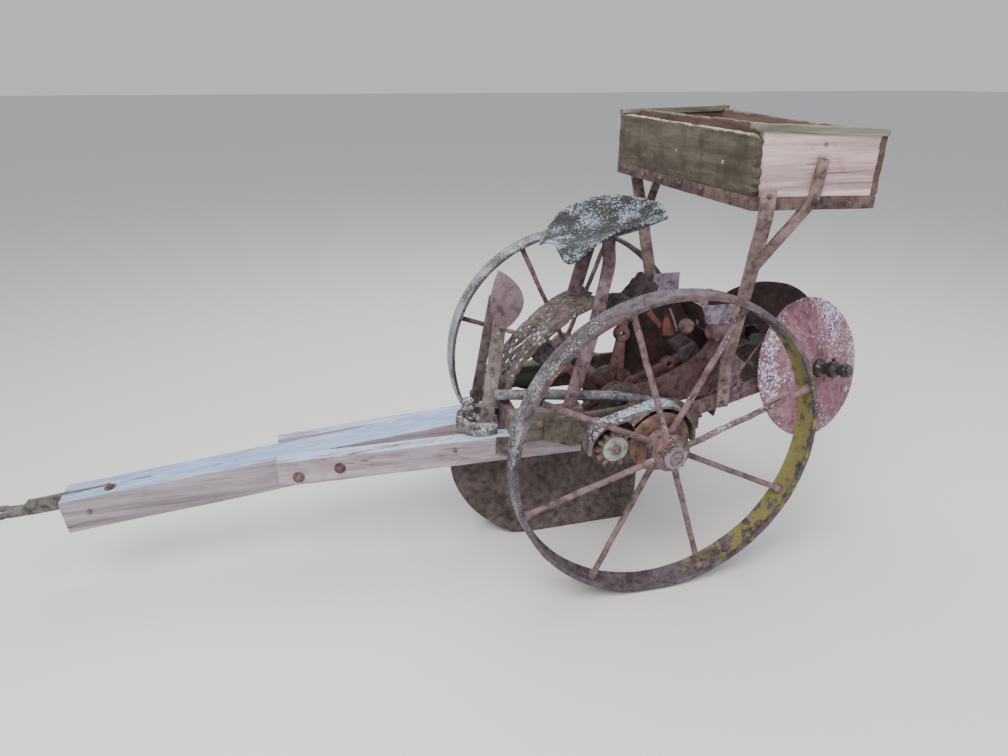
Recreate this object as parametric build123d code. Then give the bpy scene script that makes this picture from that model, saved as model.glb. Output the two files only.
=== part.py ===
from build123d import *
import os
from math import acos, cos, hypot, pi, radians, sin, tan

# A one-row potato planter drawn by a pole, on two spoked steel wheels. Sizes are in mm.
# X runs forward to the pole's tip, Y to the left, Z up from the ground.
# Places are given from the ground point midway between the wheels until the last step.

# Running wheels and axle
wheelRadius = 406.4
trackWidth = 743.0
tyreWidth = 73.0
tyreThickness = 8.0
tyreCrown = 5.0
tyreShoulder = 16.0
tyreLip = 17.0
spokeCount = 8
spokeRadius = 8.0
spokeHubSpread = 20.0
spokeRimSpread = 9.0
spokePhaseLeft = 26.4
spokePhaseRight = 24.6
hubOuterReach = 38.0
hubInnerReach = 44.0
hubBarrelRadius = 34.0
hubFlangeRadius = 47.0
hubFlangeWidth = 24.0
axleHeight = wheelRadius
axleRadius = 19.0
collarWidth = 12.0
collarRadius = 30.0
runFit = 0.05
endPlay = 0.4

# Gears on the left side
gearModule = 7.0
driveTeeth = 21
pinionTeeth = 13
gearWidth = 26.0
gearRim = 10.0
gearBoss = 13.0
gearWeb = 7.0
toothHeight = 0.78
toothDepth = 1.0
backlash = 1.2
pressureAngle = 20.0
meshAngle = -2.0
countershaftRadius = 15.0
washerRadius = 33.0
washerThickness = 4.0
boltHeadRadius = 13.0
boltHeadHeight = 8.0
guardWall = 7.0
guardClearance = 14.0
guardBackWidth = 8.0

# Side frames, timbers and pole
sideSpread = 182.0
sideThickness = 14.0
sideFront = 260.0
sideRear = -190.0
sideBottom = axleHeight - 54.4
sideTop = axleHeight + 41.6
bearingRadius = 44.0
bearingWidth = 24.0
railWidth = 44.0
railBottom = axleHeight - 12.4
railTop = axleHeight + 46.1
railFront = 345.0
railRear = 150.0
houndWidth = 44.0
houndDepth = 70.0
houndFront = 940.0
houndFrontBottom = axleHeight - 126.4
houndRear = 150.0
houndHousing = 13.0
poleWidth = 94.0
poleDepth = 88.0
poleFront = 1462.0
poleRear = 345.0
poleFrontHeight = axleHeight - 157.4
poleSlope = 5.1
strapBack = 105.0
strapReach = 150.0
strapHeight = 40.0
strapThickness = 10.0
strapTwist = 20.0
eyeRadius = 28.0
eyeBore = 11.0

# Rear bars and covering discs
rearBarLeg = 46.0
rearBarThickness = 6.0
rearBarFront = -100.0
rearBarHeight = axleHeight - 44.4
rearBarSlope = 14.5
rearBarLength = 446.0
rearBarSpread = 162.0
crossShare = 0.545
crossWidth = 40.0
crossThickness = 10.0
discSpread = 176.0
discReach = -573.0
discHeight = axleHeight + 79.6
discRadius = 203.0
discDish = 34.0
discThickness = 5.0
discToe = 13.0
discLean = 14.5
spindleRadius = 12.0

# Steps of the disc's hub and of its spindle: start along the spindle, length, radius
hubSteps = [(-8.0, 20.0, 34.0), (10.0, 70.0, 22.0)]
spindleSteps = [(-58.0, 160.0, spindleRadius), (81.0, 14.0, 20.0), (-58.0, 49.0, 24.0)]

# Seed casing round the axle
casingRadius = 348.0
casingWidth = 140.0
casingThickness = 4.0
casingStart = 6.0
casingEnd = 76.0
casingTail = 118.0
cheekDepth = 26.0
pickerRadius = 256.0
pickerRing = 188.0
pickerArms = 6
pickerArmSide = 30.0
pickerPhase = 34.8
pickerBarrelRadius = 46.0
pickerBarrelEnd = 45.0
pickerDiscRadius = 82.0
pickerDiscHalf = 4.0
clutchRingRadius = 66.0
clutchRingInner = 36.0
clutchRingStart = 92.0
clutchRingWidth = 14.0
clutchNeckRadius = 30.0
pickerArmWidth = 16.0
pickerArmThickness = 12.0
pickerEyeRadius = 20.0
pickerEyeBore = 9.0
headDeep = 56.0
headWide = 74.0
headTall = 52.0
headRound = 12.0
grooveWidth = 5.0
grooveDepth = 4.0
needleRadius = 3.0

# Castings and levers at the pole's rear end
crossRear = casingRadius - 30.0
crossBottom = axleHeight - 90.4
crossTop = axleHeight + 35.6
yokeForward = 398.0
yokeSide = 68.0
yokeRadius = 62.0
yokeWidth = 20.0
yokeStart = -150.0
yokeEnd = 110.0
yokeBottom = axleHeight - 24.4
yokeTop = axleHeight + 3.6
lugThickness = 14.0
lugAngle = 10.0
lugHalf = 45.0
leverForward = 392.0
leverSide = 80.0
leverLean = 8.2
markerLean = 14.0
leverLength = 300.0
leverWidth = 34.0
leverThickness = 14.0
leverPinRadius = 8.0
headRear = 50.0
headFront = 18.0
headHeight = 154.0
headThickness = 8.0
markerForward = 420.0
markerSide = -30.0
markerLength = 330.0
markerWidth = 26.0
markerThickness = 10.0
clutchRadius = 14.0
clutchPath = [
    (368, 86, axleHeight + 66.6),
    (242, 118, axleHeight + 67.6),
    (43, 142, axleHeight + 49.6),
    (-122, 138, axleHeight + 5.6),
]
clutchEyeDrop = 12.0
clutchEyeRadius = 16.0

# Seed bowl and throat
bowlRadius = 326.0
bowlWall = 6.0
bowlStart = 149.0
bowlEnd = 196.0
bowlAxleRoom = 32.0
bowlRim = [(-40, 41.6), (-100, 51.6), (-170, 75.6), (-235, 113.6), (-270, 153.6), (-282, 198.6)]
farRim = [(-40, 41.6), (-58, 120), (-110, 226), (-177, 262), (-262, 258), (-322, 208)]
bowlRear = [(-300, 183.6), (-334, 13.6), (-300, -18.4), (-60, -34.4)]
throatTop = axleHeight + 262.0
throatWall = 4.0
throatBottom = axleHeight + 199.6
throatRear = -334.0
throatFront = -262.0
throatInset = 12.0
throatMouthRear = -352.0
throatMouthFront = -232.0
throatFlare = 10.0
earRear = -241.0
earFront = -156.0
earSide = 81.0
earBottom = 40.0
earTop = 58.0
flangeWall = 4.0
tabRear = -318.0
tabFront = -288.0
tabDepth = 46.0

# Opener shoe under the pole's rear end
shoeFront = 478.0
shoeRear = -80.0
shoeTop = axleHeight - 66.4
shoeFull = 312.0
shoeWidth = 126.0
shoePlate = 7.0
shoeToe = 250.0

# Seat
seatHeight = axleHeight + 465.6
seatForward = 20.0
seatHalfLength = 164.0
seatRear = 144.0
seatHalfWidth = 183.0
seatFall = 33.0
seatSag = 12.0
seatCurl = 22.0
seatSideRise = 56.0
seatThighDrop = 124.0
seatThickness = 5.0
seatCornerX = 158.0
seatCornerY = 130.0
seatGrid = 6
seatBarWidth = 38.0
seatBarThickness = 10.0
farBarFoot = (140.0, -16.0, seatHeight - 160.0)
farBarTop = (74.0, -16.0, seatHeight + 12.0)
nearBarFoot = (172.0, 168.0, railTop - 12.5)
nearBarKnee = (68.0, 92.0, seatHeight - 100.0)
nearBarTop = (30.0, 52.0, seatHeight + 18.0)

# Hopper
hopperFront = -162.0
hopperLength = 316.0
hopperHalfWidth = 364.0
hopperBottom = axleHeight + 605.6
hopperDepth = 139.0
hopperTilt = 0.4
hopperLean = 10.0
capHalf = 16.0
capThickness = 8.0
boardThickness = 20.0
floorThickness = 14.0
innerBoardGap = 26.0
railLeg = 30.0
railThickness = 5.0
postWidth = 36.0
postThickness = 9.0
postLevels = [hopperBottom + 14.0, hopperBottom - 50.0, rearBarHeight + 162.0, rearBarHeight + 34.0]
postLeft = [-187.0, -188.0, -272.0, -276.0]
postRight = [-222.0, -223.0, -266.0, -276.0]
braceStart = 0.3
braceWidth = 26.0
braceBend = (-306.0, hopperBottom - 12.0)
braceTop = (-330.0, hopperBottom + 88.0)

upward = (Align.CENTER, Align.CENTER, Align.MIN)
pieces = {}


def aim(start, end):
    way = Vector(*end) - Vector(*start)
    return Plane(origin=start, z_dir=way), way.length


def rod(start, end, radius):
    plane, length = aim(start, end)
    return plane * Cylinder(radius, length, align=upward)


def biggest(shape):
    return max(shape.solids(), key=lambda solid: solid.volume)


def both(shape):
    """The left piece and its mirror on the right, as two solids of one node."""
    left = biggest(shape)
    return Compound(children=[left, mirrored(left)])


def mirrored(shape):
    return mirror(shape, about=Plane.XZ)


def block(x0, x1, y0, y1, z0, z1):
    return Pos(x0, y0, z0) * Box(x1 - x0, y1 - y0, z1 - z0, align=(Align.MIN, Align.MIN, Align.MIN))


def turned(outline):
    """Solid turned about Y from (radius, y) corners."""
    return revolve(make_face(Polyline(*outline, close=True)), Axis.Y)


def tyre():
    """Steel tyre with a crowned tread and edges turned in, as a shallow channel."""
    half = tyreWidth / 2
    flat = half - tyreShoulder
    edge = wheelRadius - tyreCrown
    lip = edge - tyreLip
    thick = tyreThickness
    return turned(
        [
            (edge, -half),
            (wheelRadius, -flat),
            (wheelRadius, flat),
            (edge, half),
            (lip, half),
            (lip, half - thick),
            (edge - thick, half - thick),
            (wheelRadius - thick, flat - thick / 2),
            (wheelRadius - thick, thick / 2 - flat),
            (edge - thick, thick - half),
            (lip, thick - half),
            (lip, -half),
        ]
    )


def spokes(phase, reach):
    rods = []
    for number in range(spokeCount):
        side = 1 if number % 2 else -1
        angle = radians(phase + 360 * number / spokeCount)
        across = (cos(angle), sin(angle))
        foot = (across[0] * axleRadius * 1.3, side * spokeHubSpread, across[1] * axleRadius * 1.3)
        rim = (across[0] * wheelRadius, side * spokeRimSpread, across[1] * wheelRadius)
        head = Vector(*foot) + (Vector(*rim) - Vector(*foot)) * (reach / wheelRadius)
        rods.append(rod(foot, tuple(head), spokeRadius))
    return rods


def hub():
    flangeIn = spokeHubSpread - hubFlangeWidth / 2
    flangeOut = spokeHubSpread + hubFlangeWidth / 2
    bore = axleRadius + runFit
    return turned(
        [
            (bore, -hubInnerReach),
            (hubBarrelRadius, -hubInnerReach),
            (hubBarrelRadius, -flangeOut),
            (hubFlangeRadius, -flangeOut + 4),
            (hubFlangeRadius, -flangeIn),
            (hubBarrelRadius, -flangeIn + 5),
            (hubBarrelRadius, flangeIn - 5),
            (hubFlangeRadius, flangeIn),
            (hubFlangeRadius, flangeOut - 4),
            (hubBarrelRadius, flangeOut),
            (hubBarrelRadius - 2, hubOuterReach),
            (bore, hubOuterReach),
        ]
    )


def wheel(side, phase):
    name = "left" if side > 0 else "right"
    place = Pos(0, side * trackWidth / 2, axleHeight)
    core = hub()
    rim = tyre()
    for hole in spokes(phase, wheelRadius + tyreThickness):
        rim = rim - hole
    trimmed = [biggest(each - core) for each in spokes(phase, wheelRadius - tyreCrown / 2)]
    body = core
    if side < 0:
        body = mirrored(core)
        trimmed = [mirrored(each) for each in trimmed]
    pieces[f"wheel_{name}_rim"] = place * (rim if side > 0 else mirrored(rim))
    pieces[f"wheel_{name}_spokes"] = place * Compound(children=[Solid(each.wrapped) for each in trimmed])
    pieces[f"wheel_{name}_hub"] = place * body


def gear(teeth, width, bore, phase):
    """Spur gear in the XZ plane about the origin, its face at y = 0 and its body on the right."""
    pitch = gearModule * teeth / 2
    base = pitch * cos(radians(pressureAngle))
    tip = pitch + toothHeight * gearModule
    root = pitch - toothDepth * gearModule
    half = pi / (2 * teeth) - backlash / (4 * pitch)
    start = max(root, base)
    radii = [start + (tip - start) * step / 3 for step in range(4)]

    def flank(radius):
        roll = acos(base / radius)
        slope = radians(pressureAngle)
        return half + (tan(slope) - slope) - (tan(roll) - roll)

    side = [(root, flank(start))] + [(radius, flank(radius)) for radius in radii]
    outline = []
    for number in range(teeth):
        middle = radians(phase) + 2 * pi * number / teeth
        outline += [(r * cos(middle - turn), r * sin(middle - turn)) for r, turn in side]
        outline += [(r * cos(middle + turn), r * sin(middle + turn)) for r, turn in reversed(side)]
    face = make_face(Polyline(*outline, close=True)) - Circle(bore)
    return extrude(Plane.XZ * face, amount=width)


gearFace = trackWidth / 2 - hubInnerReach
gearBack = gearFace - gearWidth
gearCentres = gearModule * (driveTeeth + pinionTeeth) / 2
pinionX = gearCentres * cos(radians(meshAngle))
pinionZ = axleHeight + gearCentres * sin(radians(meshAngle))
sideOuter = sideSpread + sideThickness
guardBack = gearBack - guardBackWidth - 8


def gears():
    drive = gear(driveTeeth, gearWidth, axleRadius + runFit, meshAngle)
    webOuter = gearModule * (driveTeeth / 2 - toothDepth) - gearRim
    recess = Plane.XZ * (Circle(webOuter) - Circle(axleRadius + gearBoss))
    drive -= extrude(recess, amount=gearWeb)
    drive -= Pos(0, -gearWidth, 0) * extrude(recess, amount=-gearWeb)
    pieces["drive_gear"] = Pos(0, gearFace, axleHeight) * drive
    gap = meshAngle + 180 + 180 / pinionTeeth
    small = gear(pinionTeeth, gearWidth, countershaftRadius, gap)
    pieces["pinion"] = Pos(pinionX, gearFace, pinionZ) * small
    shaftEnd = sideSpread - railWidth
    shaft = turned(
        [
            (0, shaftEnd),
            (countershaftRadius, shaftEnd),
            (countershaftRadius, gearFace),
            (washerRadius, gearFace),
            (washerRadius, gearFace + washerThickness),
            (boltHeadRadius, gearFace + washerThickness),
            (boltHeadRadius, gearFace + washerThickness + boltHeadHeight),
            (0, gearFace + washerThickness + boltHeadHeight),
        ]
    )
    pieces["pinion_shaft"] = Pos(pinionX, 0, pinionZ) * shaft


def gearGuard():
    """Cast shroud over both gears, open in front and below, with its two bearing sleeves."""
    tipRise = toothHeight * gearModule + guardClearance
    driveRoom = gearModule * driveTeeth / 2 + tipRise
    pinionRoom = gearModule * pinionTeeth / 2 + tipRise
    spot = Pos(pinionX, pinionZ - axleHeight)

    def hull(grow):
        rings = (Circle(driveRoom + grow).edges(), (spot * Circle(pinionRoom + grow)).edges())
        return make_hull([edge for ring in rings for edge in ring])

    below = Pos(pinionX / 2, -12) * Rectangle(600, 300, align=(Align.CENTER, Align.MAX))
    outer = hull(guardWall) - below
    inner = hull(0)
    openings = Circle(driveRoom) + spot * Circle(pinionRoom)
    rim = Plane.XZ * (outer - inner)
    lip = Plane.XZ * (outer - openings)
    back = Plane.XZ * outer
    front = gearFace + washerThickness + 2
    shell = Pos(0, front, 0) * extrude(rim, amount=front - guardBack)
    shell += Pos(0, front, 0) * extrude(lip, amount=4)
    shell += Pos(0, guardBack + guardBackWidth, 0) * extrude(back, amount=guardBackWidth)
    sleeves = [(0, 0, axleRadius, 11), (pinionX, pinionZ - axleHeight, countershaftRadius + runFit, 10)]
    for x, z, bore, wall in sleeves:
        shell += rod((x, sideOuter, z), (x, gearBack - endPlay, z), bore + wall)
    for x, z, bore, wall in sleeves:
        shell -= rod((x, sideOuter - 1, z), (x, gearBack, z), bore)
    pieces["gear_guard"] = Pos(0, 0, axleHeight) * shell


def axle():
    reach = trackWidth / 2 + hubOuterReach + endPlay + collarWidth
    pieces["axle"] = rod((0, -reach, axleHeight), (0, reach, axleHeight), axleRadius)
    outer = trackWidth / 2 + hubOuterReach + endPlay
    inner = trackWidth / 2 - hubInnerReach - endPlay
    starts = [outer, -outer - collarWidth, -inner]
    ring = Circle(collarRadius) - Circle(axleRadius)
    collars = []
    for start in starts:
        collars.append(Pos(0, start + collarWidth, axleHeight) * extrude(Plane.XZ * ring, amount=collarWidth))
    pieces["axle_collars"] = Compound(children=[Solid(each.solid().wrapped) for each in collars])


def beam(start, end, width, depth):
    """Straight timber with its width level and across the way it runs."""
    way = Vector(*end) - Vector(*start)
    across = Vector(0, 0, 1).cross(way)
    plane = Plane(origin=start, x_dir=across, z_dir=way)
    return plane * Box(width, depth, way.length, align=upward)


poleRearHeight = poleFrontHeight + (poleFront - poleRear) * tan(radians(poleSlope))


def poleTimber():
    return beam((poleRear, 0, poleRearHeight), (poleFront, 0, poleFrontHeight), poleWidth, poleDepth)


def houndTimber(frontSide, rearSide):
    """Timber scarfed against the pole's left side in front, out to a place at the frame behind."""
    front = (houndFront, frontSide, houndFrontBottom + houndDepth / 2)
    rear = (houndRear, rearSide, railBottom - houndDepth / 2)
    timber = beam(front, rear, houndWidth, houndDepth)
    timber -= block(poleRear - 400, poleFront, -300, poleWidth / 2, 0, 600)
    return timber & block(0, poleFront, 0, sideSpread, 0, 600)


def frameTimbers():
    pieces["pole"] = poleTimber()
    hound = houndTimber((poleWidth + houndWidth) / 2 - 4, sideSpread - houndWidth / 2)
    straight = (poleWidth + houndWidth) / 2 - houndHousing
    plain = mirrored(houndTimber(straight, straight) & block(crossRear, poleFront, 0, sideSpread, 0, 600))
    rail = block(railRear, railFront, sideSpread - railWidth, sideSpread, railBottom - 24, railTop)
    rail = rail - hound
    rail = biggest(rail)
    pieces["hounds"] = Compound(children=[hound, plain])
    pieces["frame_rails"] = both(rail)


def sideFrames():
    outline = [
        (sideFront, sideTop - 10),
        (sideFront, sideBottom + 24),
        (sideFront - 70, sideBottom),
        (sideRear, sideBottom),
        (sideRear, sideBottom + 52),
        (sideRear + 70, sideTop),
    ]
    plate = extrude(Plane.XZ * make_face(Polyline(*outline, close=True)), amount=sideThickness)
    plate = Pos(0, sideOuter, 0) * plate
    plate += rod((0, sideOuter - bearingWidth, axleHeight), (0, sideOuter, axleHeight), bearingRadius)
    lugFront = rearBarFront - 6
    plate += block(sideRear, lugFront, rearBarSpread, sideSpread + 1, sideBottom, sideBottom + 50)
    plate -= rod((0, 0, axleHeight), (0, sideOuter + 1, axleHeight), axleRadius)
    left = plate - rod((pinionX, 0, pinionZ), (pinionX, sideOuter + 1, pinionZ), countershaftRadius + runFit)
    pieces["side_frames"] = Compound(children=[biggest(left), mirrored(biggest(plate))])


def hitchStrap():
    """Iron on edge in a slot along the pole's top, twisted flat to an eye at its tip."""
    top = poleFrontHeight + poleDepth / 2 + 2
    slope = tan(radians(poleSlope))
    start = (poleFront - strapBack, 0, top - strapHeight / 2 + strapBack * slope)
    end = (poleFront + strapReach * 0.55, 0, top - strapHeight / 2 - strapReach * 0.55 * slope)
    bar = beam(start, end, strapThickness, strapHeight)
    eyeX = poleFront + strapReach
    eyeZ = end[2] - strapReach * 0.45 * slope
    tongue = Pos(eyeX, 0, eyeZ) * Cylinder(eyeRadius, strapThickness)
    half = eyeRadius * 0.75
    flat = eyeZ - strapThickness / 2
    tongue += block(end[0] + strapTwist, eyeX, -half, half, flat, flat + strapThickness)
    sections = [
        (0, end[2], strapThickness, strapHeight),
        (strapTwist / 2, (end[2] + eyeZ) / 2, strapHeight * 0.6, strapHeight * 0.6),
        (strapTwist, eyeZ, half * 2, strapThickness),
    ]
    faces = []
    for along, z, width, height in sections:
        plane = Plane(origin=(end[0] + along, 0, z), z_dir=(1, 0, 0), x_dir=(0, 1, 0))
        faces.append(plane * Rectangle(width, height))
    twist = loft(faces, ruled=True)
    strap = bar + twist + tongue
    strap -= Pos(eyeX, 0, eyeZ) * Cylinder(eyeBore, strapThickness * 3)
    pieces["hitch_strap"] = strap
    pieces["pole"] = pieces["pole"] - bar


def sector(outer, inner, start, end):
    """Part of a flat ring between two angles in degrees."""
    reach = outer * 2
    steps = int(abs(end - start) / 30) + 2
    angles = [radians(start + (end - start) * step / steps) for step in range(steps + 1)]
    corners = [(reach * cos(angle), reach * sin(angle)) for angle in angles]
    return (Circle(outer) - Circle(inner)) & make_face(Polyline((0, 0), *corners, close=True))


def ringPart(outer, inner, start, end, y0, y1):
    """Part of a ring round the axle line, between two angles and two planes."""
    return Pos(0, y1, axleHeight) * extrude(Plane.XZ * sector(outer, inner, start, end), amount=y1 - y0)


def frontIrons():
    hounds = pieces["hounds"]
    inner = sideSpread - railWidth
    cross = block(crossRear, poleRear, -inner, inner, crossBottom, crossTop)
    lugOuter = casingRadius - casingThickness
    lugEnd = casingStart + lugAngle
    cross += ringPart(lugOuter, lugOuter - lugThickness, casingStart, lugEnd, -lugHalf, lugHalf)
    pieces["front_cross"] = biggest(cross - hounds - pieces["pole"])
    band = sector(yokeRadius + yokeWidth / 2, yokeRadius - yokeWidth / 2, yokeStart, yokeEnd)
    yoke = Pos(yokeForward, yokeSide, yokeBottom) * extrude(band, amount=yokeTop - yokeBottom)
    yoke = yoke - pieces["pole"] - hounds - pieces["front_cross"]
    pieces["front_yoke"] = biggest(yoke)


def levers():
    foot = (leverForward, leverSide, yokeBottom)
    lean = tan(radians(leverLean))
    tip = (leverForward - leverLength * lean, leverSide, yokeBottom + leverLength)
    pinLevel = yokeBottom + 2
    pin = rod((leverForward, 0, pinLevel), (leverForward, yokeSide + yokeRadius, pinLevel), leverPinRadius)
    lever = beam(foot, tip, leverThickness, leverWidth) + pin
    pieces["depth_lever"] = biggest(lever - pieces["pole"] - pieces["front_yoke"] - pieces["hounds"])
    turn = radians(leverLean)
    headPlane = Plane(origin=tip, z_dir=(0, -1, 0), x_dir=(cos(turn), 0, sin(turn)))
    top = (4, headHeight * 0.8)
    front = (6, -headHeight * 0.2)
    rear = (-14, -headHeight * 0.2)
    leaf = make_face(
        [
            ThreePointArc(top, (headFront, headHeight * 0.32), front),
            Line(front, rear),
            ThreePointArc(rear, (-headRear, headHeight * 0.34), top),
        ]
    )
    side = leverThickness / 2 + headThickness
    pieces["lever_head"] = Pos(0, side, 0) * (headPlane * extrude(leaf, amount=headThickness))
    markerFoot = (markerForward, markerSide, yokeBottom)
    back = markerLength * tan(radians(markerLean))
    markerTip = (markerForward - back, markerSide, yokeBottom + markerLength)
    pieces["marker_bar"] = beam(markerFoot, markerTip, markerThickness, markerWidth) - pieces["pole"]


def clutchRod():
    solids = None
    for start, end in zip(clutchPath, clutchPath[1:]):
        part = rod(start, end, clutchRadius)
        solids = part if solids is None else solids + part
    for point in clutchPath[1:-1]:
        solids += Pos(*point) * Sphere(clutchRadius)
    x, y, z = clutchPath[-1]
    level = z - clutchEyeDrop
    solids += rod((x, y, level), (x, rearBarSpread - rearBarThickness, level), clutchEyeRadius)
    solids = solids - pieces["depth_lever"]
    pieces["clutch_rod"] = biggest(solids)


def casing():
    half = casingWidth / 2
    shell = ringPart(casingRadius, casingRadius - casingThickness, casingStart, casingEnd, -half, half)
    for side in (-1, 1):
        edge = sorted((side * half, side * (half - casingThickness)))
        reach = casingEnd if side > 0 else casingTail
        shell += ringPart(casingRadius, casingRadius - cheekDepth, casingStart, reach, *edge)
    pieces["picker_guard"] = shell - pieces["front_cross"]


def pickerWheel():
    bore = axleRadius + runFit
    end = pickerBarrelEnd
    waist = pickerBarrelRadius - 8
    half = [(bore, end), (pickerBarrelRadius, end), (pickerBarrelRadius, end - 15), (waist, end - 19)]
    drum = turned(half + [(radius, -y) for radius, y in reversed(half)])
    disc = ringPart(pickerDiscRadius, waist - 2, 0, 360, -pickerDiscHalf, pickerDiscHalf)
    start = clutchRingStart
    inner = clutchRingInner
    neck = clutchNeckRadius
    face = start + clutchRingWidth
    ring = turned(
        [
            (bore, end - 1),
            (neck, end - 1),
            (neck, start + 4),
            (inner, start + 4),
            (inner, start),
            (clutchRingRadius, start),
            (clutchRingRadius, face),
            (inner, face),
            (inner, face - 6),
            (bore, face - 6),
        ]
    )
    wheelBody = Pos(0, 0, axleHeight) * (drum + ring) + disc
    pieces["picker_hub"] = wheelBody
    arms = []
    heads = []
    footRadius = pickerBarrelRadius - 2
    for number in range(pickerArms):
        angle = pickerPhase + 360 * number / pickerArms
        turn = Pos(0, 0, axleHeight) * Rot(0, -angle, 0)
        legs = None
        for spread in (-12, 12):
            lean = radians(spread * 1.6)
            foot = (footRadius * cos(lean), pickerArmSide, footRadius * sin(lean))
            leg = beam(foot, (pickerRing, pickerArmSide, 0), pickerArmThickness, pickerArmWidth)
            legs = leg if legs is None else legs + leg
        ring = Pos(pickerRing, pickerArmSide, 0) * Rot(90, 0, 0)
        legs += ring * Cylinder(pickerEyeRadius, pickerArmThickness + 6)
        inner = (pickerRing, pickerArmSide, 0)
        outer = (pickerRadius - headDeep / 2 + 2, pickerArmSide, 0)
        legs += beam(inner, outer, pickerArmThickness, pickerArmWidth * 1.5)
        legs -= ring * Cylinder(pickerEyeBore, pickerArmThickness * 4)
        arms.append(turn * legs)
        head = Pos(pickerRadius, 0, 0) * Box(headDeep, headWide, headTall)
        head = fillet(head.edges().filter_by(Axis.Y), headRound)
        for step in (-1, 0, 1):
            groove = Box(grooveWidth, headWide + 6, grooveDepth * 2)
            head -= Pos(pickerRadius + step * headDeep / 4, 0, headTall / 2) * groove
        side = pickerArmSide - 14
        needle = rod((pickerRadius + 22, side, 20), (pickerRadius + 40, side, 52), needleRadius)
        head = head - legs
        head = biggest(head) + needle
        heads.append(turn * biggest(head))
    hub = pieces["picker_hub"]
    trimmed = [biggest(arm - hub) for arm in arms]
    pieces["picker_arms"] = Compound(children=[Solid(each.wrapped) for each in trimmed])
    pieces["picker_heads"] = Compound(children=[Solid(each.wrapped) for each in heads])


def seedBowl():
    """Open-topped trough behind the axle, which the picker heads rise through."""
    half = casingWidth / 2
    shell = ringPart(bowlRadius + bowlWall, bowlRadius, bowlStart, bowlEnd, -half, half)
    for side, rim in ((half, bowlRim), (bowlWall - half, farRim)):
        profile = make_face([Spline(*rim), Polyline(rim[-1], *bowlRear, rim[0])])
        shell += Pos(0, side, axleHeight) * extrude(Plane.XZ * profile, amount=bowlWall)
    shell -= rod((0, -half - 1, axleHeight), (0, half + 1, axleHeight), axleRadius + bowlAxleRoom)
    pieces["seed_bowl"] = biggest(shell - pieces["rear_cross_bar"])


def funnel(grow, reach):
    """Solid funnel whose four sides slope in to the bowl, grown or shrunk all round."""
    half = casingWidth / 2
    middle = (throatRear + throatFront) / 2
    mouth = (throatMouthRear + throatMouthFront) / 2
    low = Plane(origin=(middle, 0, throatBottom - reach)) * Rectangle(
        throatFront - throatRear + 2 * grow, 2 * (half - throatInset + grow)
    )
    high = Plane(origin=(mouth, 0, throatTop + reach)) * Rectangle(
        throatMouthFront - throatMouthRear + 2 * grow, 2 * (half + throatFlare + grow)
    )
    return loft([low, high], ruled=True)


def seedThroat():
    """Sheet funnel that leads down into the bowl, flanged and tabbed onto its cheeks."""
    half = casingWidth / 2
    level = throatBottom + flangeWall
    flange = block(throatRear, throatFront, -half, half, throatBottom, level)
    for side in (-1, 1):
        inner, outer = sorted((side * half, side * (half + throatWall)))
        flange += block(tabRear, tabFront, inner, outer, throatBottom - tabDepth, level)
    throat = funnel(0, 0) + flange - funnel(-throatWall, 1)
    low = throatTop - earBottom
    throat += block(earRear, earFront, -earSide, throatWall - earSide, low, throatTop + earTop)
    pieces["seed_throat"] = biggest(throat - pieces["seed_bowl"])


def openerShoe():
    length = shoeFront - shoeFull
    spread = shoeWidth / 2
    side = [(shoeRear, spread), (shoeFull, spread), (shoeFront, 0)]
    lines = Polyline(*side, *[(x, -y) for x, y in reversed(side[:2])])
    tip = shoeFront - shoePlate * hypot(length, spread) / spread
    inner = Polyline(
        (shoeRear - 1, spread - shoePlate),
        (shoeFull, spread - shoePlate),
        (tip, 0),
        (shoeFull, shoePlate - spread),
        (shoeRear - 1, shoePlate - spread),
    )
    wedge = make_face([lines, Line(lines @ 1, lines @ 0)])
    hollow = make_face([inner, Line(inner @ 1, inner @ 0)])
    plates = extrude(wedge - hollow, amount=shoeTop)
    toe = (shoeFront, shoeToe)
    profile = make_face(
        [
            Polyline((shoeRear + 30, 0), (shoeRear, 60), (shoeRear, shoeTop), (shoeFront, shoeTop), toe),
            ThreePointArc(toe, (shoeFront - 70, 70), (shoeFront - shoeToe, 0)),
            Line((shoeFront - shoeToe, 0), (shoeRear + 30, 0)),
        ]
    )
    shoe = plates & (Pos(0, shoeWidth, 0) * extrude(Plane.XZ * profile, amount=shoeWidth * 2))
    shoe = shoe - pieces["pole"] - pieces["hounds"] - pieces["front_cross"]
    pieces["opener_shoe"] = biggest(shoe)


def seatSurface():
    """Underside of the pan, dished between its sides, with its front corners drooping."""
    steps = [1.08 * (2 * step / seatGrid - 1) for step in range(seatGrid + 1)]
    points = []
    for along in steps:
        centre = seatHeight - seatFall * along + seatSag * along**2 + seatCurl * min(along, 0) ** 2
        rise = seatSideRise - seatThighDrop * max(along, 0) ** 4
        x = seatForward + seatHalfLength * along
        points.append([(x, seatHalfWidth * across, centre + rise * across**2) for across in steps])
    return Face.make_surface_from_array_of_points(points)


def seat():
    """Pan with two thigh lobes in front and a shallow notch between them."""
    pan = thicken(seatSurface(), amount=seatThickness)
    side = (-8, seatHalfWidth)
    corner = (seatCornerX, seatCornerY)
    inner = (seatHalfLength, 8)
    left = [
        ThreePointArc((-seatRear, 0), (-seatHalfLength * 0.64, seatHalfWidth * 0.66), side),
        ThreePointArc(side, (seatCornerX * 0.62, seatHalfWidth * 0.94), corner),
        ThreePointArc(corner, (seatHalfLength + 6, seatCornerY * 0.45), inner),
        Line(inner, (seatHalfLength - 4, 0)),
    ]
    right = [mirrored(edge) for edge in left]
    column = extrude(make_face(left + right), amount=240)
    pieces["seat_pan"] = biggest(pan & Pos(seatForward, 0, seatHeight - 100) * column)


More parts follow.
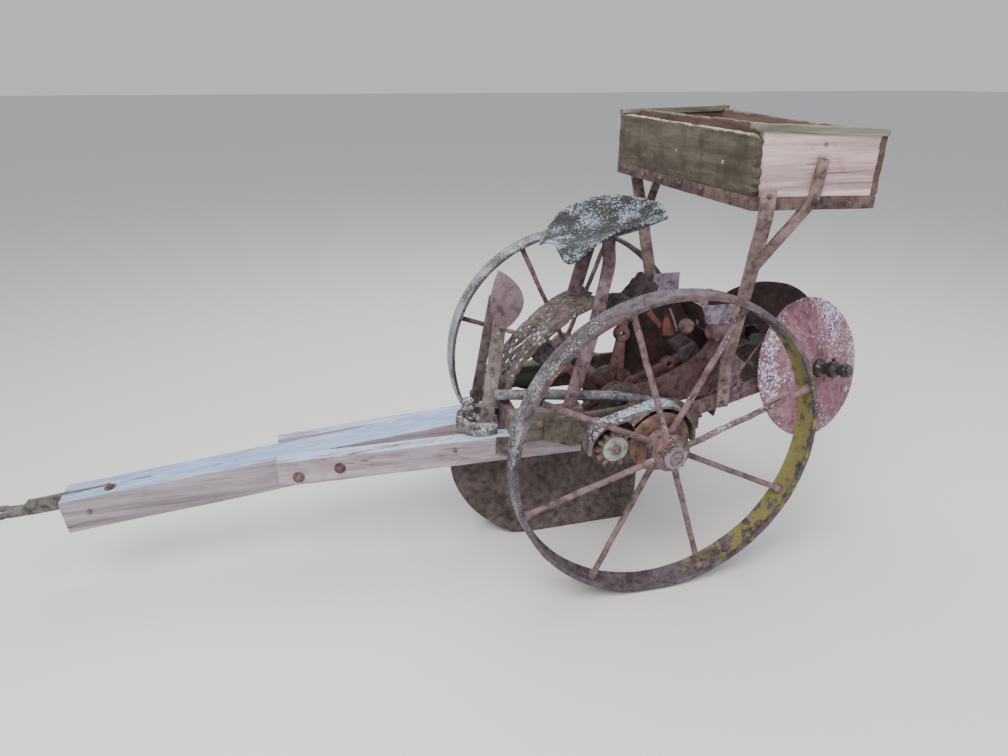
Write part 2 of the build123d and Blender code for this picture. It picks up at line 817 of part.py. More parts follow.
def seatBars():
    """Two flat bars that carry the pan, one from the casing and one from the left rail."""
    above = thicken(seatSurface(), amount=seatSideRise * 2)
    drum = extrude(Plane.XZ * Circle(casingRadius), amount=casingRadius * 2)
    core = Pos(0, casingRadius, axleHeight) * drum
    far = beam(farBarFoot, farBarTop, seatBarWidth, seatBarThickness) - above - core
    knee = Pos(*nearBarKnee) * Rot(90, 0, 0) * Cylinder(seatBarWidth / 2, seatBarThickness)
    near = beam(nearBarFoot, nearBarKnee, seatBarThickness, seatBarWidth) + knee
    near += beam(nearBarKnee, nearBarTop, seatBarThickness, seatBarWidth)
    near = near - above - block(0, railFront, 0, sideOuter, 0, railTop)
    pieces["seat_bars"] = Compound(children=[biggest(far), biggest(near)])


hopperFrame = Pos(hopperFront, 0, hopperBottom) * Rot(0, hopperTilt, 0)


def hopperBoard(x0, x1, y0, y1, z0, z1):
    return hopperFrame * block(x0, x1, y0, y1, z0, z1)


def hopper():
    half = hopperHalfWidth
    wood = boardThickness
    rear = -hopperLength
    lean = hopperLean
    pieces["hopper_front_board"] = hopperBoard(-wood, 0, -half, half, 0, hopperDepth - 4)
    inner = -wood - innerBoardGap
    pieces["hopper_inner_board"] = hopperBoard(
        inner - wood, inner, wood - half, half - wood, floorThickness, hopperDepth
    )
    high = (rear - lean, hopperDepth)
    back = make_face(Polyline((rear, 0), (rear + wood, 0), (high[0] + wood, hopperDepth), high, close=True))
    backBoard = Pos(0, half - wood, 0) * extrude(Plane.XZ * back, amount=2 * (half - wood))
    pieces["hopper_back_board"] = hopperFrame * backBoard
    level = hopperDepth - capThickness
    end = make_face(Polyline((rear, 0), (-wood, 0), (-wood, level), (rear - lean, level), close=True))
    endBoard = extrude(Plane.XZ * end, amount=wood)
    pieces["hopper_end_boards"] = both(hopperFrame * Pos(0, half, 0) * endBoard)
    pieces["hopper_floor"] = hopperBoard(rear + wood, -wood, wood - half, half - wood, 0, floorThickness) - (
        pieces["hopper_back_board"]
    )
    middle = half - wood / 2
    cap = hopperBoard(rear - lean, 0, middle - capHalf, middle + capHalf, level, hopperDepth)
    for board in ("hopper_front_board", "hopper_inner_board", "hopper_back_board"):
        cap -= pieces[board]
    pieces["hopper_caps"] = both(cap)
    rails = hopperBoard(rear, 0, -half, half, -railThickness, 0)
    rails -= hopperBoard(rear + railLeg, -railLeg, railLeg - half, half - railLeg, -railThickness - 1, 1)
    rails += hopperBoard(-railThickness, 0, -half, half, -railLeg, 0)
    rails += hopperBoard(rear, rear + railThickness, -half, half, -railLeg, 0)
    for side in (-1, 1):
        y = sorted((side * half, side * (half - railThickness)))
        rails += hopperBoard(rear, 0, y[0], y[1], -railLeg, 0)
    pieces["hopper_rail"] = rails


def strip(points, width, thickness):
    """Flat bar through the points, its face turned sideways, rounded where it bends."""
    whole = None
    for start, end in zip(points, points[1:]):
        way = Vector(*end) - Vector(*start)
        plane = Plane(origin=start, x_dir=Vector(0, 1, 0).cross(way), z_dir=way)
        flat = plane * Box(width, thickness, way.length, align=upward)
        whole = flat if whole is None else whole + flat
    for point in points[1:-1]:
        whole += Pos(*point) * Rot(0, 90, 0) * Cylinder(thickness / 2, width)
    return whole


def posts():
    """Splayed flat posts from the rear bars to the hopper's ends, each with a brace."""
    outside = hopperHalfWidth + postThickness / 2
    inside = rearBarSpread + postThickness / 2
    sides = (outside, outside, inside, inside)
    hopperBox = hopperBoard(-2 * hopperLength, hopperLength, 0, hopperHalfWidth, -railLeg, hopperDepth)
    bend = (braceBend[0], outside, braceBend[1])
    elbow = Pos(*bend) * Rot(90, 0, 0) * Cylinder(braceWidth / 2, postThickness)
    up = strip([bend, (braceTop[0], outside, braceTop[1])], braceWidth, postThickness)
    flats = []
    braces = []
    for places in (postLeft, postRight):
        line = list(zip(places, sides, postLevels))
        post = biggest(strip(line, postWidth, postThickness) - hopperBox - pieces["side_frames"])
        upper = Vector(*line[1])
        start = upper + (Vector(*line[2]) - upper) * braceStart
        brace = strip([(start.X, start.Y, start.Z), bend], braceWidth, postThickness) + up + elbow
        flats.append(post)
        braces.append(biggest(brace - hopperBox - post))
    pieces["hopper_posts"] = Compound(children=[flats[0], mirrored(flats[1])])
    pieces["hopper_braces"] = Compound(children=[braces[0], mirrored(braces[1])])


def rearBars():
    slope = tan(radians(rearBarSlope))
    start = (rearBarFront, rearBarSpread - rearBarThickness / 2, rearBarHeight + rearBarLeg / 2)
    end = (start[0] - rearBarLength, start[1], start[2] + rearBarLength * slope)
    upright = beam(start, end, rearBarThickness, rearBarLeg)
    flatStart = (start[0], rearBarSpread - rearBarLeg / 2, rearBarHeight + rearBarThickness / 2)
    flatEnd = (end[0], flatStart[1], flatStart[2] + rearBarLength * slope)
    bar = upright + beam(flatStart, flatEnd, rearBarLeg, rearBarThickness)
    pieces["rear_bars"] = both(bar)
    crossX = rearBarFront - rearBarLength * crossShare
    crossZ = rearBarHeight + rearBarLength * crossShare * slope + rearBarThickness
    reach = rearBarSpread - rearBarThickness
    half = crossWidth / 2
    low = crossZ + rearBarThickness
    cross = block(crossX - half, crossX + half, -reach, reach, low, low + crossThickness)
    pieces["rear_cross_bar"] = biggest(cross - pieces["rear_bars"])


discAxis = Vector(
    -sin(radians(discToe)) * cos(radians(discLean)),
    cos(radians(discToe)) * cos(radians(discLean)),
    sin(radians(discLean)),
)


def discs():
    """Dished disc on a spindle that comes out of a bracket on the rear bar."""
    centre = Vector(discReach, discSpread, discHeight)
    plane = Plane(origin=(centre.X, centre.Y, centre.Z), z_dir=discAxis)
    ball = (discRadius**2 + discDish**2) / (2 * discDish)
    shell = Pos(0, 0, -ball) * (Sphere(ball) - Sphere(ball - discThickness))
    edge = Pos(0, 0, -discDish) * Cylinder(discRadius, discDish * 2, align=upward)
    hubs = biggest(shell & edge)
    for start, length, radius in hubSteps:
        hubs += Pos(0, 0, start) * Cylinder(radius, length, align=upward)
    hubs -= Pos(0, 0, -discDish * 2) * Cylinder(spindleRadius + runFit, discRadius, align=upward)
    left = plane * hubs
    spindle = None
    for start, length, radius in spindleSteps:
        step = Pos(0, 0, start) * Cylinder(radius, length, align=upward)
        spindle = step if spindle is None else spindle + step
    pieces["cover_disc_left"] = left
    pieces["cover_disc_right"] = mirrored(left)
    pieces["disc_spindles"] = both(plane * spindle - pieces["rear_bars"])


def build():
    axle()
    wheel(1, spokePhaseLeft)
    wheel(-1, -spokePhaseRight)
    gears()
    gearGuard()
    frameTimbers()
    sideFrames()
    rearBars()
    hitchStrap()
    frontIrons()
    levers()
    clutchRod()
    casing()
    pickerWheel()
    seedBowl()
    seedThroat()
    openerShoe()
    seat()
    seatBars()
    hopper()
    posts()
    discs()


build()
whole = Compound(children=[Compound(children=shape.solids()) for shape in pieces.values()])
box = whole.bounding_box()
home = Pos(-(box.min.X + box.max.X) / 2, -(box.min.Y + box.max.Y) / 2, -box.min.Z)
os.makedirs("parts", exist_ok=True)
for name, shape in pieces.items():
    placed = home * Compound(children=[Solid(each.wrapped) for each in shape.solids()])
    export_step(placed, f"parts/{name}.step")
print("home", home.position, "size", box.size, "nodes", len(pieces))
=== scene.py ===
# Potato planter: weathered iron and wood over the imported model.
# Places are given in mm from the ground point midway between the running wheels,
# X to the pole's tip, Y to the left and Z up; spot() turns them into metres.
import math

import bmesh
import bpy
from mathutils import Matrix, Vector, noise


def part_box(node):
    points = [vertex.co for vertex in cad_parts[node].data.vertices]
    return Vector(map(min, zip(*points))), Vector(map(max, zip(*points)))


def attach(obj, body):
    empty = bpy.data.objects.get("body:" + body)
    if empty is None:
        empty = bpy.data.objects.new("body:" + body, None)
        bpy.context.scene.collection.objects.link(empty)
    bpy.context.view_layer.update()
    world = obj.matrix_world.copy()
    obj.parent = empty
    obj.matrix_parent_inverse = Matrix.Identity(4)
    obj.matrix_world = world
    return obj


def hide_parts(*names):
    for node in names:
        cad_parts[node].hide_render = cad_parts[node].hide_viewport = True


# one seed for noise_vector, so that every run wears the pieces alike
noise.seed_set(3)
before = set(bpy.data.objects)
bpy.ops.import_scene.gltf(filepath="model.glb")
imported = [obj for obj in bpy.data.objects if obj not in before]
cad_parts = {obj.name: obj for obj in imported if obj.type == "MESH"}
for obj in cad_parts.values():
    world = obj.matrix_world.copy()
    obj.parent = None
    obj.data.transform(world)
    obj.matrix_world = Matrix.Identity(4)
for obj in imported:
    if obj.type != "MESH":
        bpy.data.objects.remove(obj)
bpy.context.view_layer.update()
axleLow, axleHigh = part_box("axle")
axleX = (axleLow.x + axleHigh.x) / 2
print("frame loaded, axle at", round(axleX, 4))


def spot(x, y, z):
    return Vector((axleX + x / 1000, y / 1000, z / 1000))


ground = spot(0, 0, 0)

# ---- camera at the photographer's place
view = {"place": (794.5, 1755.2, 1257), "yaw": -15.19, "pitch": 23.09, "lens": 25.25}
cameraData = bpy.data.cameras.new("camera")
cameraData.lens = view["lens"]
cameraData.sensor_width = 36.0
cameraData.clip_start = 0.05
camera = bpy.data.objects.new("camera", cameraData)
bpy.context.scene.collection.objects.link(camera)
yaw, pitch = math.radians(view["yaw"]), math.radians(view["pitch"])
ahead = Vector((math.sin(yaw) * math.cos(pitch), -math.cos(yaw) * math.cos(pitch), -math.sin(pitch)))
camera.location = spot(*view["place"])
camera.rotation_euler = ahead.to_track_quat("-Z", "Y").to_euler()
bpy.context.scene.camera = camera


# ---- colours and nodes; desk holds the node tree that is being built
desk = {}


def tone(code):
    parts = [int(code[place : place + 2], 16) / 255 for place in (0, 2, 4)]
    return tuple(part / 12.92 if part <= 0.04045 else ((part + 0.055) / 1.055) ** 2.4 for part in parts) + (1,)


def addNode(kind, inputs=None, **settings):
    tree = desk["tree"]
    node = tree.nodes.new(kind)
    for key, value in settings.items():
        setattr(node, key, value)
    for key, value in (inputs or {}).items():
        if isinstance(value, bpy.types.NodeSocket):
            tree.links.new(value, node.inputs[key])
        else:
            node.inputs[key].default_value = value
    return node


def placed(scale=(1, 1, 1), turn=(0, 0, 0), shift=(0, 0, 0)):
    coords = addNode("ShaderNodeTexCoord").outputs["Object"]
    inputs = {"Vector": coords, "Scale": scale, "Rotation": turn, "Location": shift}
    return addNode("ShaderNodeMapping", inputs).outputs[0]


def noiseOf(vector, size, detail, rough, twist=0):
    inputs = {"Vector": vector, "Scale": size, "Detail": detail, "Roughness": rough, "Distortion": twist}
    return addNode("ShaderNodeTexNoise", inputs).outputs[0]


def between(value, low, high):
    inputs = {"Value": value, "From Min": low, "From Max": high}
    return addNode("ShaderNodeMapRange", inputs, interpolation_type="SMOOTHSTEP").outputs["Result"]


def times(first, second):
    return addNode("ShaderNodeMath", {0: first, 1: second}, operation="MULTIPLY").outputs[0]


def plus(first, second):
    return addNode("ShaderNodeMath", {0: first, 1: second}, operation="ADD").outputs[0]


def mixed(amount, first, second):
    return addNode("ShaderNodeMix", {0: amount, 6: first, 7: second}, data_type="RGBA").outputs[2]


def ramp(value, codes, spread=0.2, shade=1):
    # two or three colours, evenly spread about the middle of the value
    codes = codes.split()
    node = addNode("ShaderNodeValToRGB", {"Fac": value})
    points = node.color_ramp.elements
    while len(points) < len(codes):
        points.new(0.5)
    for number, code in enumerate(codes):
        points[number].position = 0.5 + spread * (2 * number / (len(codes) - 1) - 1)
        points[number].color = (*(part * shade for part in tone(code)[:3]), 1)
    return node.outputs["Color"]


def facingUp():
    normal = addNode("ShaderNodeNewGeometry").outputs["Normal"]
    return addNode("ShaderNodeSeparateXYZ", {0: normal}).outputs[2]


def painted(channel):
    node = addNode("ShaderNodeAttribute", attribute_name="wear")
    return addNode("ShaderNodeSeparateColor", {0: node.outputs["Color"]}).outputs[channel]


def startMaterial(name, roughness):
    material = bpy.data.materials.new(name)
    material.use_nodes = True
    desk["tree"] = material.node_tree
    material.node_tree.nodes.clear()
    shader = addNode("ShaderNodeBsdfPrincipled", {"Roughness": roughness})
    addNode("ShaderNodeOutputMaterial", {"Surface": shader.outputs[0]})
    return material, shader


def dress(shader, colour, height, strength, depth):
    bump = addNode("ShaderNodeBump", {"Height": height, "Strength": strength, "Distance": depth})
    desk["tree"].links.new(bump.outputs[0], shader.inputs["Normal"])
    desk["tree"].links.new(colour, shader.inputs["Base Color"])


# what an iron or a wood look has where it names nothing else
plainIron = dict(
    roughness=0.85, shift=0, shade=1, broadSize=9, middleSize=48, fineSize=260, rustSize=13, rustSoft=0.12,
    rustCover=0.85, grime="1d1412", grimeCover=0.55, flakeSize=95, clumpSize=11, upward=0.03, lichenSoft=0.06,
    mossSize=42, mossSoft=0.14, bump=0.7, depth=0.0016,
)
plainWood = dict(
    roughness=0.9, shift=0, turn=(0, 0, 0), run=2.2, fibre=46, spread=0.14, blotchSize=13, stainFrom=0.55,
    stainSoft=0.16, stainCover=0.5, checkFrom=0.36, checkSoft=0.05, checkCover=0.85, check="221b18", mossSize=70,
    bump=0.8, depth=0.0022,
)


# Old iron: mottled body, rust patches, grime, and flakes of lichen that like upper faces.
def ironFinish(name, look):
    look = {**plainIron, **look}
    material, shader = startMaterial(name, look["roughness"])
    shift = look["shift"]
    body = placed(shift=(shift, shift * 0.7, -shift))
    broad = noiseOf(body, look["broadSize"], 5, 0.6, 0.4)
    middle = noiseOf(body, look["middleSize"], 6, 0.65)
    fine = noiseOf(body, look["fineSize"], 5, 0.7)
    colour = ramp(plus(times(broad, 0.55), times(middle, 0.45)), look["body"], 0.14, look["shade"])
    spots = plus(noiseOf(placed(shift=(shift + 3, 1, 2)), look["rustSize"], 8, 0.62, 0.6), painted(0))
    rusted = between(spots, look["rustFrom"], look["rustFrom"] + look["rustSoft"])
    colour = mixed(times(rusted, look["rustCover"]), colour, ramp(fine, look["rust"]))
    grime = times(between(middle, 0.52, 0.30), look["grimeCover"])
    colour = mixed(grime, colour, tone(look["grime"]))
    height = plus(times(middle, 0.6), times(fine, 0.4))
    if "lichen" in look:
        flakes = noiseOf(placed(shift=(shift + 7, 3, 5)), look["flakeSize"], 7, 0.66, 0.3)
        clumps = noiseOf(placed(shift=(shift + 1, 8, 5)), look["clumpSize"], 3, 0.5)
        grown = plus(times(clumps, 0.5), times(facingUp(), look["upward"]))
        grown = plus(plus(flakes, grown), painted(2))
        cover = between(grown, look["lichenFrom"], look["lichenFrom"] + look["lichenSoft"])
        colour = mixed(cover, colour, ramp(fine, look["lichen"], 0.22))
        height = plus(height, times(cover, 0.9))
    if "moss" in look:
        spots = plus(noiseOf(placed(shift=(shift + 11, 2, 9)), look["mossSize"], 5, 0.6), painted(1))
        cover = between(spots, look["mossFrom"], look["mossFrom"] + look["mossSoft"])
        colour = mixed(cover, colour, ramp(fine, look["moss"]))
    dress(shader, colour, height, look["bump"], look["depth"])
    return material


# Old timber: fibres along one axis, dark checks, and a pale skin on upper faces: grey lichen, and on the pole and
# hounds also painted sky light, blue on the top faces.
def woodFinish(name, look):
    look = {**plainWood, **look}
    material, shader = startMaterial(name, look["roughness"])
    stretch = tuple(look["run"] if axis == look["along"] else look["fibre"] for axis in range(3))
    wide, thin = (tuple(part * share for part in stretch) for share in (0.28, 2.6))
    turn = tuple(math.radians(part) for part in look["turn"])
    shift = look["shift"]
    fibre = noiseOf(placed(stretch, turn, (shift, shift, shift)), 1, 7, 0.65, 0.15)
    bands = noiseOf(placed(wide, turn, (shift, 2, 1)), 1, 5, 0.6, 0.5)
    hair = noiseOf(placed(thin, turn, (1, shift, 3)), 1, 4, 0.7)
    blotch = noiseOf(placed(shift=(shift + 2, 5, 1)), look["blotchSize"], 4, 0.6)
    value = plus(plus(times(fibre, 0.45), times(bands, 0.3)), times(hair, 0.25))
    colour = ramp(value, look["body"], look["spread"])
    stain = between(blotch, look["stainFrom"], look["stainFrom"] + look["stainSoft"])
    colour = mixed(times(stain, look["stainCover"]), colour, tone(look["stain"]))
    if "topSkinAndSkyLight" in look:
        # upper faces paler: lichen, plus painted sky light where the look's top colours are blue
        patch = noiseOf(placed((10, 40, 40) if look["along"] == 0 else (40, 10, 40), turn), 1, 8, 0.68)
        cover = times(between(facingUp(), 0.45, 0.9), between(patch, look["topSkinAndSkyLightFrom"], look["topSkinAndSkyLightFrom"] + 0.1))
        colour = mixed(cover, colour, ramp(hair, look["topSkinAndSkyLight"]))
    checks = between(fibre, look["checkFrom"], look["checkFrom"] - look["checkSoft"])
    colour = mixed(times(checks, look["checkCover"]), colour, tone(look["check"]))
    if "moss" in look:
        spots = noiseOf(placed(shift=(4, shift, 9)), look["mossSize"], 7, 0.7)
        clumps = noiseOf(placed(shift=(1, shift, 2)), 9, 3, 0.5)
        grown = plus(spots, times(clumps, 0.6))
        colour = mixed(between(grown, look["mossFrom"], look["mossFrom"] + 0.08), colour, tone(look["moss"]))
    if "edge" in look:
        colour = mixed(between(plus(blotch, painted(0)), 0.75, 0.95), colour, ramp(hair, look["edge"]))
    height = plus(plus(times(fibre, 0.7), times(hair, 0.3)), times(checks, -0.8))
    dress(shader, colour, height, look["bump"], look["depth"])
    return material


ironLooks = {
    "wheelIron": dict(
        body="33282a 574b51 72676f", rust="54352a 6f4839", rustFrom=0.62, rustCover=0.7, lichen="6f767a a8adb2",
        lichenFrom=0.86, lichenSoft=0.1, flakeSize=210, upward=0, clumpSize=16, moss="5f5830 8c8350", mossFrom=0.7,
        mossSize=30, shade=0.78,
    ),
    "spokeIron": dict(
        body="3c2d2e 6b5457 8a7277", rust="5f3426 87503a", rustFrom=0.6, rustCover=0.6, shift=0.6,
        lichen="9a978c c0bdb2", lichenFrom=0.9, flakeSize=170, upward=0.02,
    ),
    "capIron": dict(
        body="5a4a4c 857880 a39aa2", rust="5f3c33 845a4e", rustFrom=0.6, rustCover=0.6, shift=0.9,
        lichen="8d9095 aeb1b8", lichenFrom=0.93, flakeSize=130, shade=0.8,
    ),
    "frameIron": dict(
        body="38282a 665055 866f76", rust="5a3324 7f4b38", rustFrom=0.6, rustCover=0.6, shift=1.7,
        lichen="8f8f8e b9b9bb", lichenFrom=0.95, flakeSize=130,
    ),
    "railIron": dict(
        body="2e2222 54423f 6f5b56", rust="52301f 734632", rustFrom=0.6, rustCover=0.6, shift=1.2,
        lichen="85857a a5a598", lichenFrom=0.97, flakeSize=130,
    ),
    "postIron": dict(
        body="453332 755f5e 93807c", rust="5d3a2c 835642", rustFrom=0.6, rustCover=0.6, shift=2.7,
        lichen="8f8f88 b0b0a8", lichenFrom=0.97, flakeSize=130,
    ),
    "sideIron": dict(
        body="2e2621 554a43 766a62", rust="53341f 7a5034", rustFrom=0.6, rustCover=0.5, shift=2.1,
        lichen="83877c a3a79c", lichenFrom=0.9, flakeSize=110, moss="45463a 676858", mossFrom=0.62,
    ),
    "gearIron": dict(
        body="3a2b27 6a5750 8f7f74", rust="6d4029 9a6342", rustFrom=0.55, rustCover=0.6, shift=2.4,
    ),
    "washerIron": dict(
        body="747c78 99a39f b2bab5", rust="7c6a58 978672", rustFrom=0.66, rustCover=0.5, shift=2.9, grime="4a4640",
    ),
    "shroudIron": dict(
        body="3e3331 615353 807274", rust="5d3a2a 7f513c", rustFrom=0.62, shift=3.1, lichen="8c9bb4 ccd6ea",
        lichenFrom=0.875, flakeSize=105, upward=0.11,
    ),
    "pickerIron": dict(
        body="231a1b 41363a 61555a", rust="4f2c1f 74432e", rustFrom=0.62, rustCover=0.5, shift=4.2, shade=1.25,
    ),
    "forkIron": dict(
        body="3c2226 62403f 805a5b", rust="5e3430 7c4c40", rustFrom=0.62, rustCover=0.5, shift=5.5, shade=0.7,
    ),
    "orangeIron": dict(
        body="4a2a26 74463c 8d5a4b", rust="5d322a 7a4638", rustFrom=0.56, shift=5.9, shade=0.6,
    ),
    "tanIron": dict(
        body="4a3a37 786663 978582", rust="5f4238 805f50", rustFrom=0.6, rustCover=0.4, shift=5.1, shade=0.52,
        lichen="8e9094 b5b8bc", lichenFrom=0.97, flakeSize=120,
    ),
    "bowlIron": dict(
        body="432c30 6a4d50 82676a", rust="4a3536 654a4a", rustFrom=0.6, rustCover=0.4, shift=6.1, shade=0.72,
    ),
    # darker copy of the bowl's iron for its inner and hidden faces: painted shade
    "bowlInsideShaded": dict(
        body="1f1516 382524 4d3634", rust="432720 5e382a", rustFrom=0.58, rustCover=0.5, shift=6.3,
    ),
    "plateIron": dict(
        body="4a3430 7b5d50 977869", rust="6a4033 86574a", rustFrom=0.56, rustCover=0.6, shift=5.3, shade=0.9,
    ),
    "lilacIron": dict(
        body="4c3f48 766878 8d8090", rust="5a3c34 7c5448", rustFrom=0.62, rustCover=0.6, shift=6.6, shade=1.55,
    ),
    "guardIron": dict(
        body="3e2f2f 665655 83756f", rust="4e2f24 704836", rustFrom=0.58, rustCover=0.6, shift=6.3, shade=0.62,
        lichen="7b7f7c a9afa9", lichenFrom=0.87, flakeSize=80, upward=0.04, moss="6a6846 8f8c66", mossFrom=0.66,
    ),
    "leverIron": dict(
        body="443937 6d6260 89807b", rust="5a3c2e 7c5541", rustFrom=0.62, shift=7.7, lichen="8a8a7c b0b0a0",
        lichenFrom=0.86, flakeSize=140,
    ),
    "yokeIron": dict(
        body="3a3130 5c5352 7a7270", rust="563b2e 77533f", rustFrom=0.62, shift=7.2, lichen="8f9496 bcc1c4",
        lichenFrom=0.84, flakeSize=120, upward=0.04,
    ),
    "pipeIron": dict(
        body="33302f 545254 706f72", rust="503a2e 6f503f", rustFrom=0.68, shift=7.4, shade=1.5,
        lichen="7f8486 a9aeb2", lichenFrom=0.86, flakeSize=130, upward=0.04,
    ),
    "headIron": dict(
        body="55414a 745f69 87737c", rust="5a3634 784a46", rustFrom=0.66, shift=8.8, shade=0.8,
        lichen="9a9a98 b9b9b8", lichenFrom=0.95, flakeSize=90,
    ),
    "shoeIron": dict(
        body="342a28 524645 6c6060", rust="4e3023 6d4737", rustFrom=0.62, rustCover=0.6, shift=9.4,
        lichen="7f817d a3a5a0", lichenFrom=0.99, flakeSize=120,
    ),
    "seatIron": dict(
        body="1e191c 2e272b 453c41", rust="2f2122 463332", rustFrom=0.68, shift=10.2, shade=0.55,
        lichen="66737e 98a6b2", lichenFrom=0.765, lichenSoft=0.1, flakeSize=155, upward=0, clumpSize=18,
        moss="7f9050 a9b974", mossFrom=0.7, mossSize=44,
    ),
    "hubIron": dict(
        body="120e0e 241d1e 3a3233", rust="38221c 4f352b", rustFrom=0.66, shift=11.6, roughness=0.33,
    ),
    "boltIron": dict(
        body="3c2927 644b48 7f6765", rust="5c3226 824b38", rustFrom=0.54, rustCover=0.7, shift=12.9,
    ),
    "strapIron": dict(
        body="3a3532 5d5955 77736e", rust="573a2c 765140", rustFrom=0.58, shift=13.3, lichen="74857e 98a69e",
        lichenFrom=0.9,
    ),
    "discPaint": dict(
        body="603e44 805863 967078", rust="5b3430 7b4a42", rustFrom=0.6, rustCover=0.6, shift=14.5, grime="4a3334",
        lichen="a4a3c0 dcdef2", lichenFrom=0.865, flakeSize=130, clumpSize=9, upward=0.02, moss="5e6350 7c806c",
        mossFrom=0.66, bump=0.45,
    ),
    # dark concave side of each covering disc: painted shade, with some grease
    "discInsideShadeAndGrease": dict(
        body="241616 3a2727 533a3a", rust="4a2a24 66402f", rustFrom=0.62, rustCover=0.6, shift=15.5,
        moss="4a4f40 686c5a", mossFrom=0.66, bump=0.5,
    ),
}
woodLooks = {
    # the pole's and hounds' blue-grey top colours are grey lichen with painted sky light on the upper faces
    "poleWood": dict(
        along=0, turn=(0, -5.1, 0), body="5f5557 948b94 b3aab2", stain="8a6f6a", topSkinAndSkyLight="6d80a0 a4b4d6", topSkinAndSkyLightFrom=0.34,
        checkFrom=0.37,
    ),
    "houndWood": dict(
        along=0, turn=(0, -3.2, -6.9), body="665a5c 9b9098 b9aeb8", stain="94726c", topSkinAndSkyLight="8393ac b2c0da",
        topSkinAndSkyLightFrom=0.4, checkFrom=0.37, shift=1.4,
    ),
    "railWood": dict(
        along=0, body="322f29 57524a 777068", stain="484a36", stainCover=0.6, moss="76806a", mossFrom=0.9, shift=3,
    ),
    "frontBoardWood": dict(
        along=1, run=5, fibre=40, body="2a231d 4a4238 655c4f", stain="34301f", stainCover=0.75, stainFrom=0.5,
        moss="5d5f40", mossFrom=0.95, shift=5, edge="7c7262 a09684",
    ),
    "endBoardWood": dict(
        along=0, run=2.4, fibre=62, turn=(0, 2.2, 0), body="6d5654 ab9292 d4beb9", spread=0.12, stain="93685a",
        stainFrom=0.56, shift=7, checkFrom=0.395, check="523f3c", edge="5f342c 84503f",
    ),
    # dark wood for the hopper's inside: painted shade in the box, on its inner, back and floor boards and the end
    # boards' inner faces
    "innerWoodShaded": dict(
        along=1, body="33241f 54403a 6d5750", stain="33241e", shift=9, edge="55463b 6c5f54",
    ),
    "capWood": dict(
        along=0, body="3d3b30 6d6c5e 93938a", spread=0.12, fibre=60, stain="44442f", topSkinAndSkyLight="5a5f4d 90968a",
        topSkinAndSkyLightFrom=0.5, shift=11, moss="6f7a4a", mossFrom=0.93, checkFrom=0.4,
    ),
}
finishes = {name: ironFinish(name, look) for name, look in ironLooks.items()}
finishes.update({name: woodFinish(name, look) for name, look in woodLooks.items()})
print("materials made:", len(finishes))


# ---- mesh helpers
def paint(piece, rule):
    layer = piece.data.attributes.new("wear", "FLOAT_COLOR", "POINT")
    for vert in piece.data.vertices:
        layer.data[vert.index].color = (*rule((vert.co - ground) * 1000, vert.normal), 1)


def reface(piece, finish, test):
    piece.data.materials.append(finishes[finish])
    for face in piece.data.polygons:
        if test((face.center - ground) * 1000, face.normal):
            face.material_index = 1


def finishPiece(bm, name, finish, slot, *nodes, body="frame", smooth=35, rule=None):
    mesh = bpy.data.meshes.new(name)
    bm.to_mesh(mesh)
    bm.free()
    for face in mesh.polygons:
        face.use_smooth = True
    mesh.set_sharp_from_angle(angle=math.radians(smooth))
    mesh.materials.append(finishes[finish])
    piece = bpy.data.objects.new(name, mesh)
    bpy.context.scene.collection.objects.link(piece)
    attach(piece, body)
    if nodes:
        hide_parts(*nodes)
    if rule:
        paint(piece, rule)
    return piece


def addTo(bm, part, matrix=None):
    if matrix is not None:
        bmesh.ops.transform(part, matrix=matrix, verts=part.verts)
    holder = bpy.data.meshes.new("holder")
    part.to_mesh(holder)
    part.free()
    bm.from_mesh(holder)
    bpy.data.meshes.remove(holder)


def aimed(place, direction, roll=0):
    turn = Vector(direction).to_track_quat("Z", "Y").to_matrix().to_4x4()
    return Matrix.Translation(place) @ turn @ Matrix.Rotation(math.radians(roll), 4, "Z")


def turned(profile, steps=40):
    part = bmesh.new()
    line = [part.verts.new((radius / 1000, 0, height / 1000)) for radius, height in profile]
    for first, second in zip(line, line[1:]):
        part.edges.new((first, second))
    bmesh.ops.spin(
        part, geom=part.verts[:] + part.edges[:], cent=(0, 0, 0), axis=(0, 0, 1), dvec=(0, 0, 0),
        angle=2 * math.pi, steps=steps, use_merge=True, use_duplicate=False,
    )
    bmesh.ops.remove_doubles(part, verts=part.verts, dist=1e-6)
    bmesh.ops.recalc_face_normals(part, faces=part.faces)
    return part


def moved(bm, matrix):
    bmesh.ops.transform(bm, matrix=matrix, verts=bm.verts)
    return bm


def smoothed(bm, verts, factor=0.5):
    bmesh.ops.smooth_vert(bm, verts=verts, factor=factor, use_axis_x=True, use_axis_y=True, use_axis_z=True)


def cutLong(bm, longer, cuts):
    run = [edge for edge in bm.edges if edge.calc_length() > longer]
    bmesh.ops.subdivide_edges(bm, edges=run, cuts=cuts, use_grid_fill=True)


def share(value, top=1):
    return min(max(value, 0), top)


def around(degrees):
    return Vector((math.cos(math.radians(degrees)), 0, math.sin(math.radians(degrees))))


def bevelEdges(bm, edges, width):
    bmesh.ops.bevel(
        bm, geom=edges, offset=width / 1000, offset_type="OFFSET", affect="EDGES", segments=2, profile=0.5,
        material=-1, clamp_overlap=True,
    )


def wear(bm, size, depth, seed=0, stretch=(1, 1, 1)):
    for vert in bm.verts:
        where = Vector([part * 1000 / size * pull for part, pull in zip(vert.co, stretch)])
        vert.co += noise.noise_vector(where + Vector((seed, seed * 2, -seed))) * depth / 1000


def cast(profile, steps, size, rough, seed, matrix):
    part = turned(profile, steps)
    wear(part, size, rough, seed)
    return moved(part, matrix)


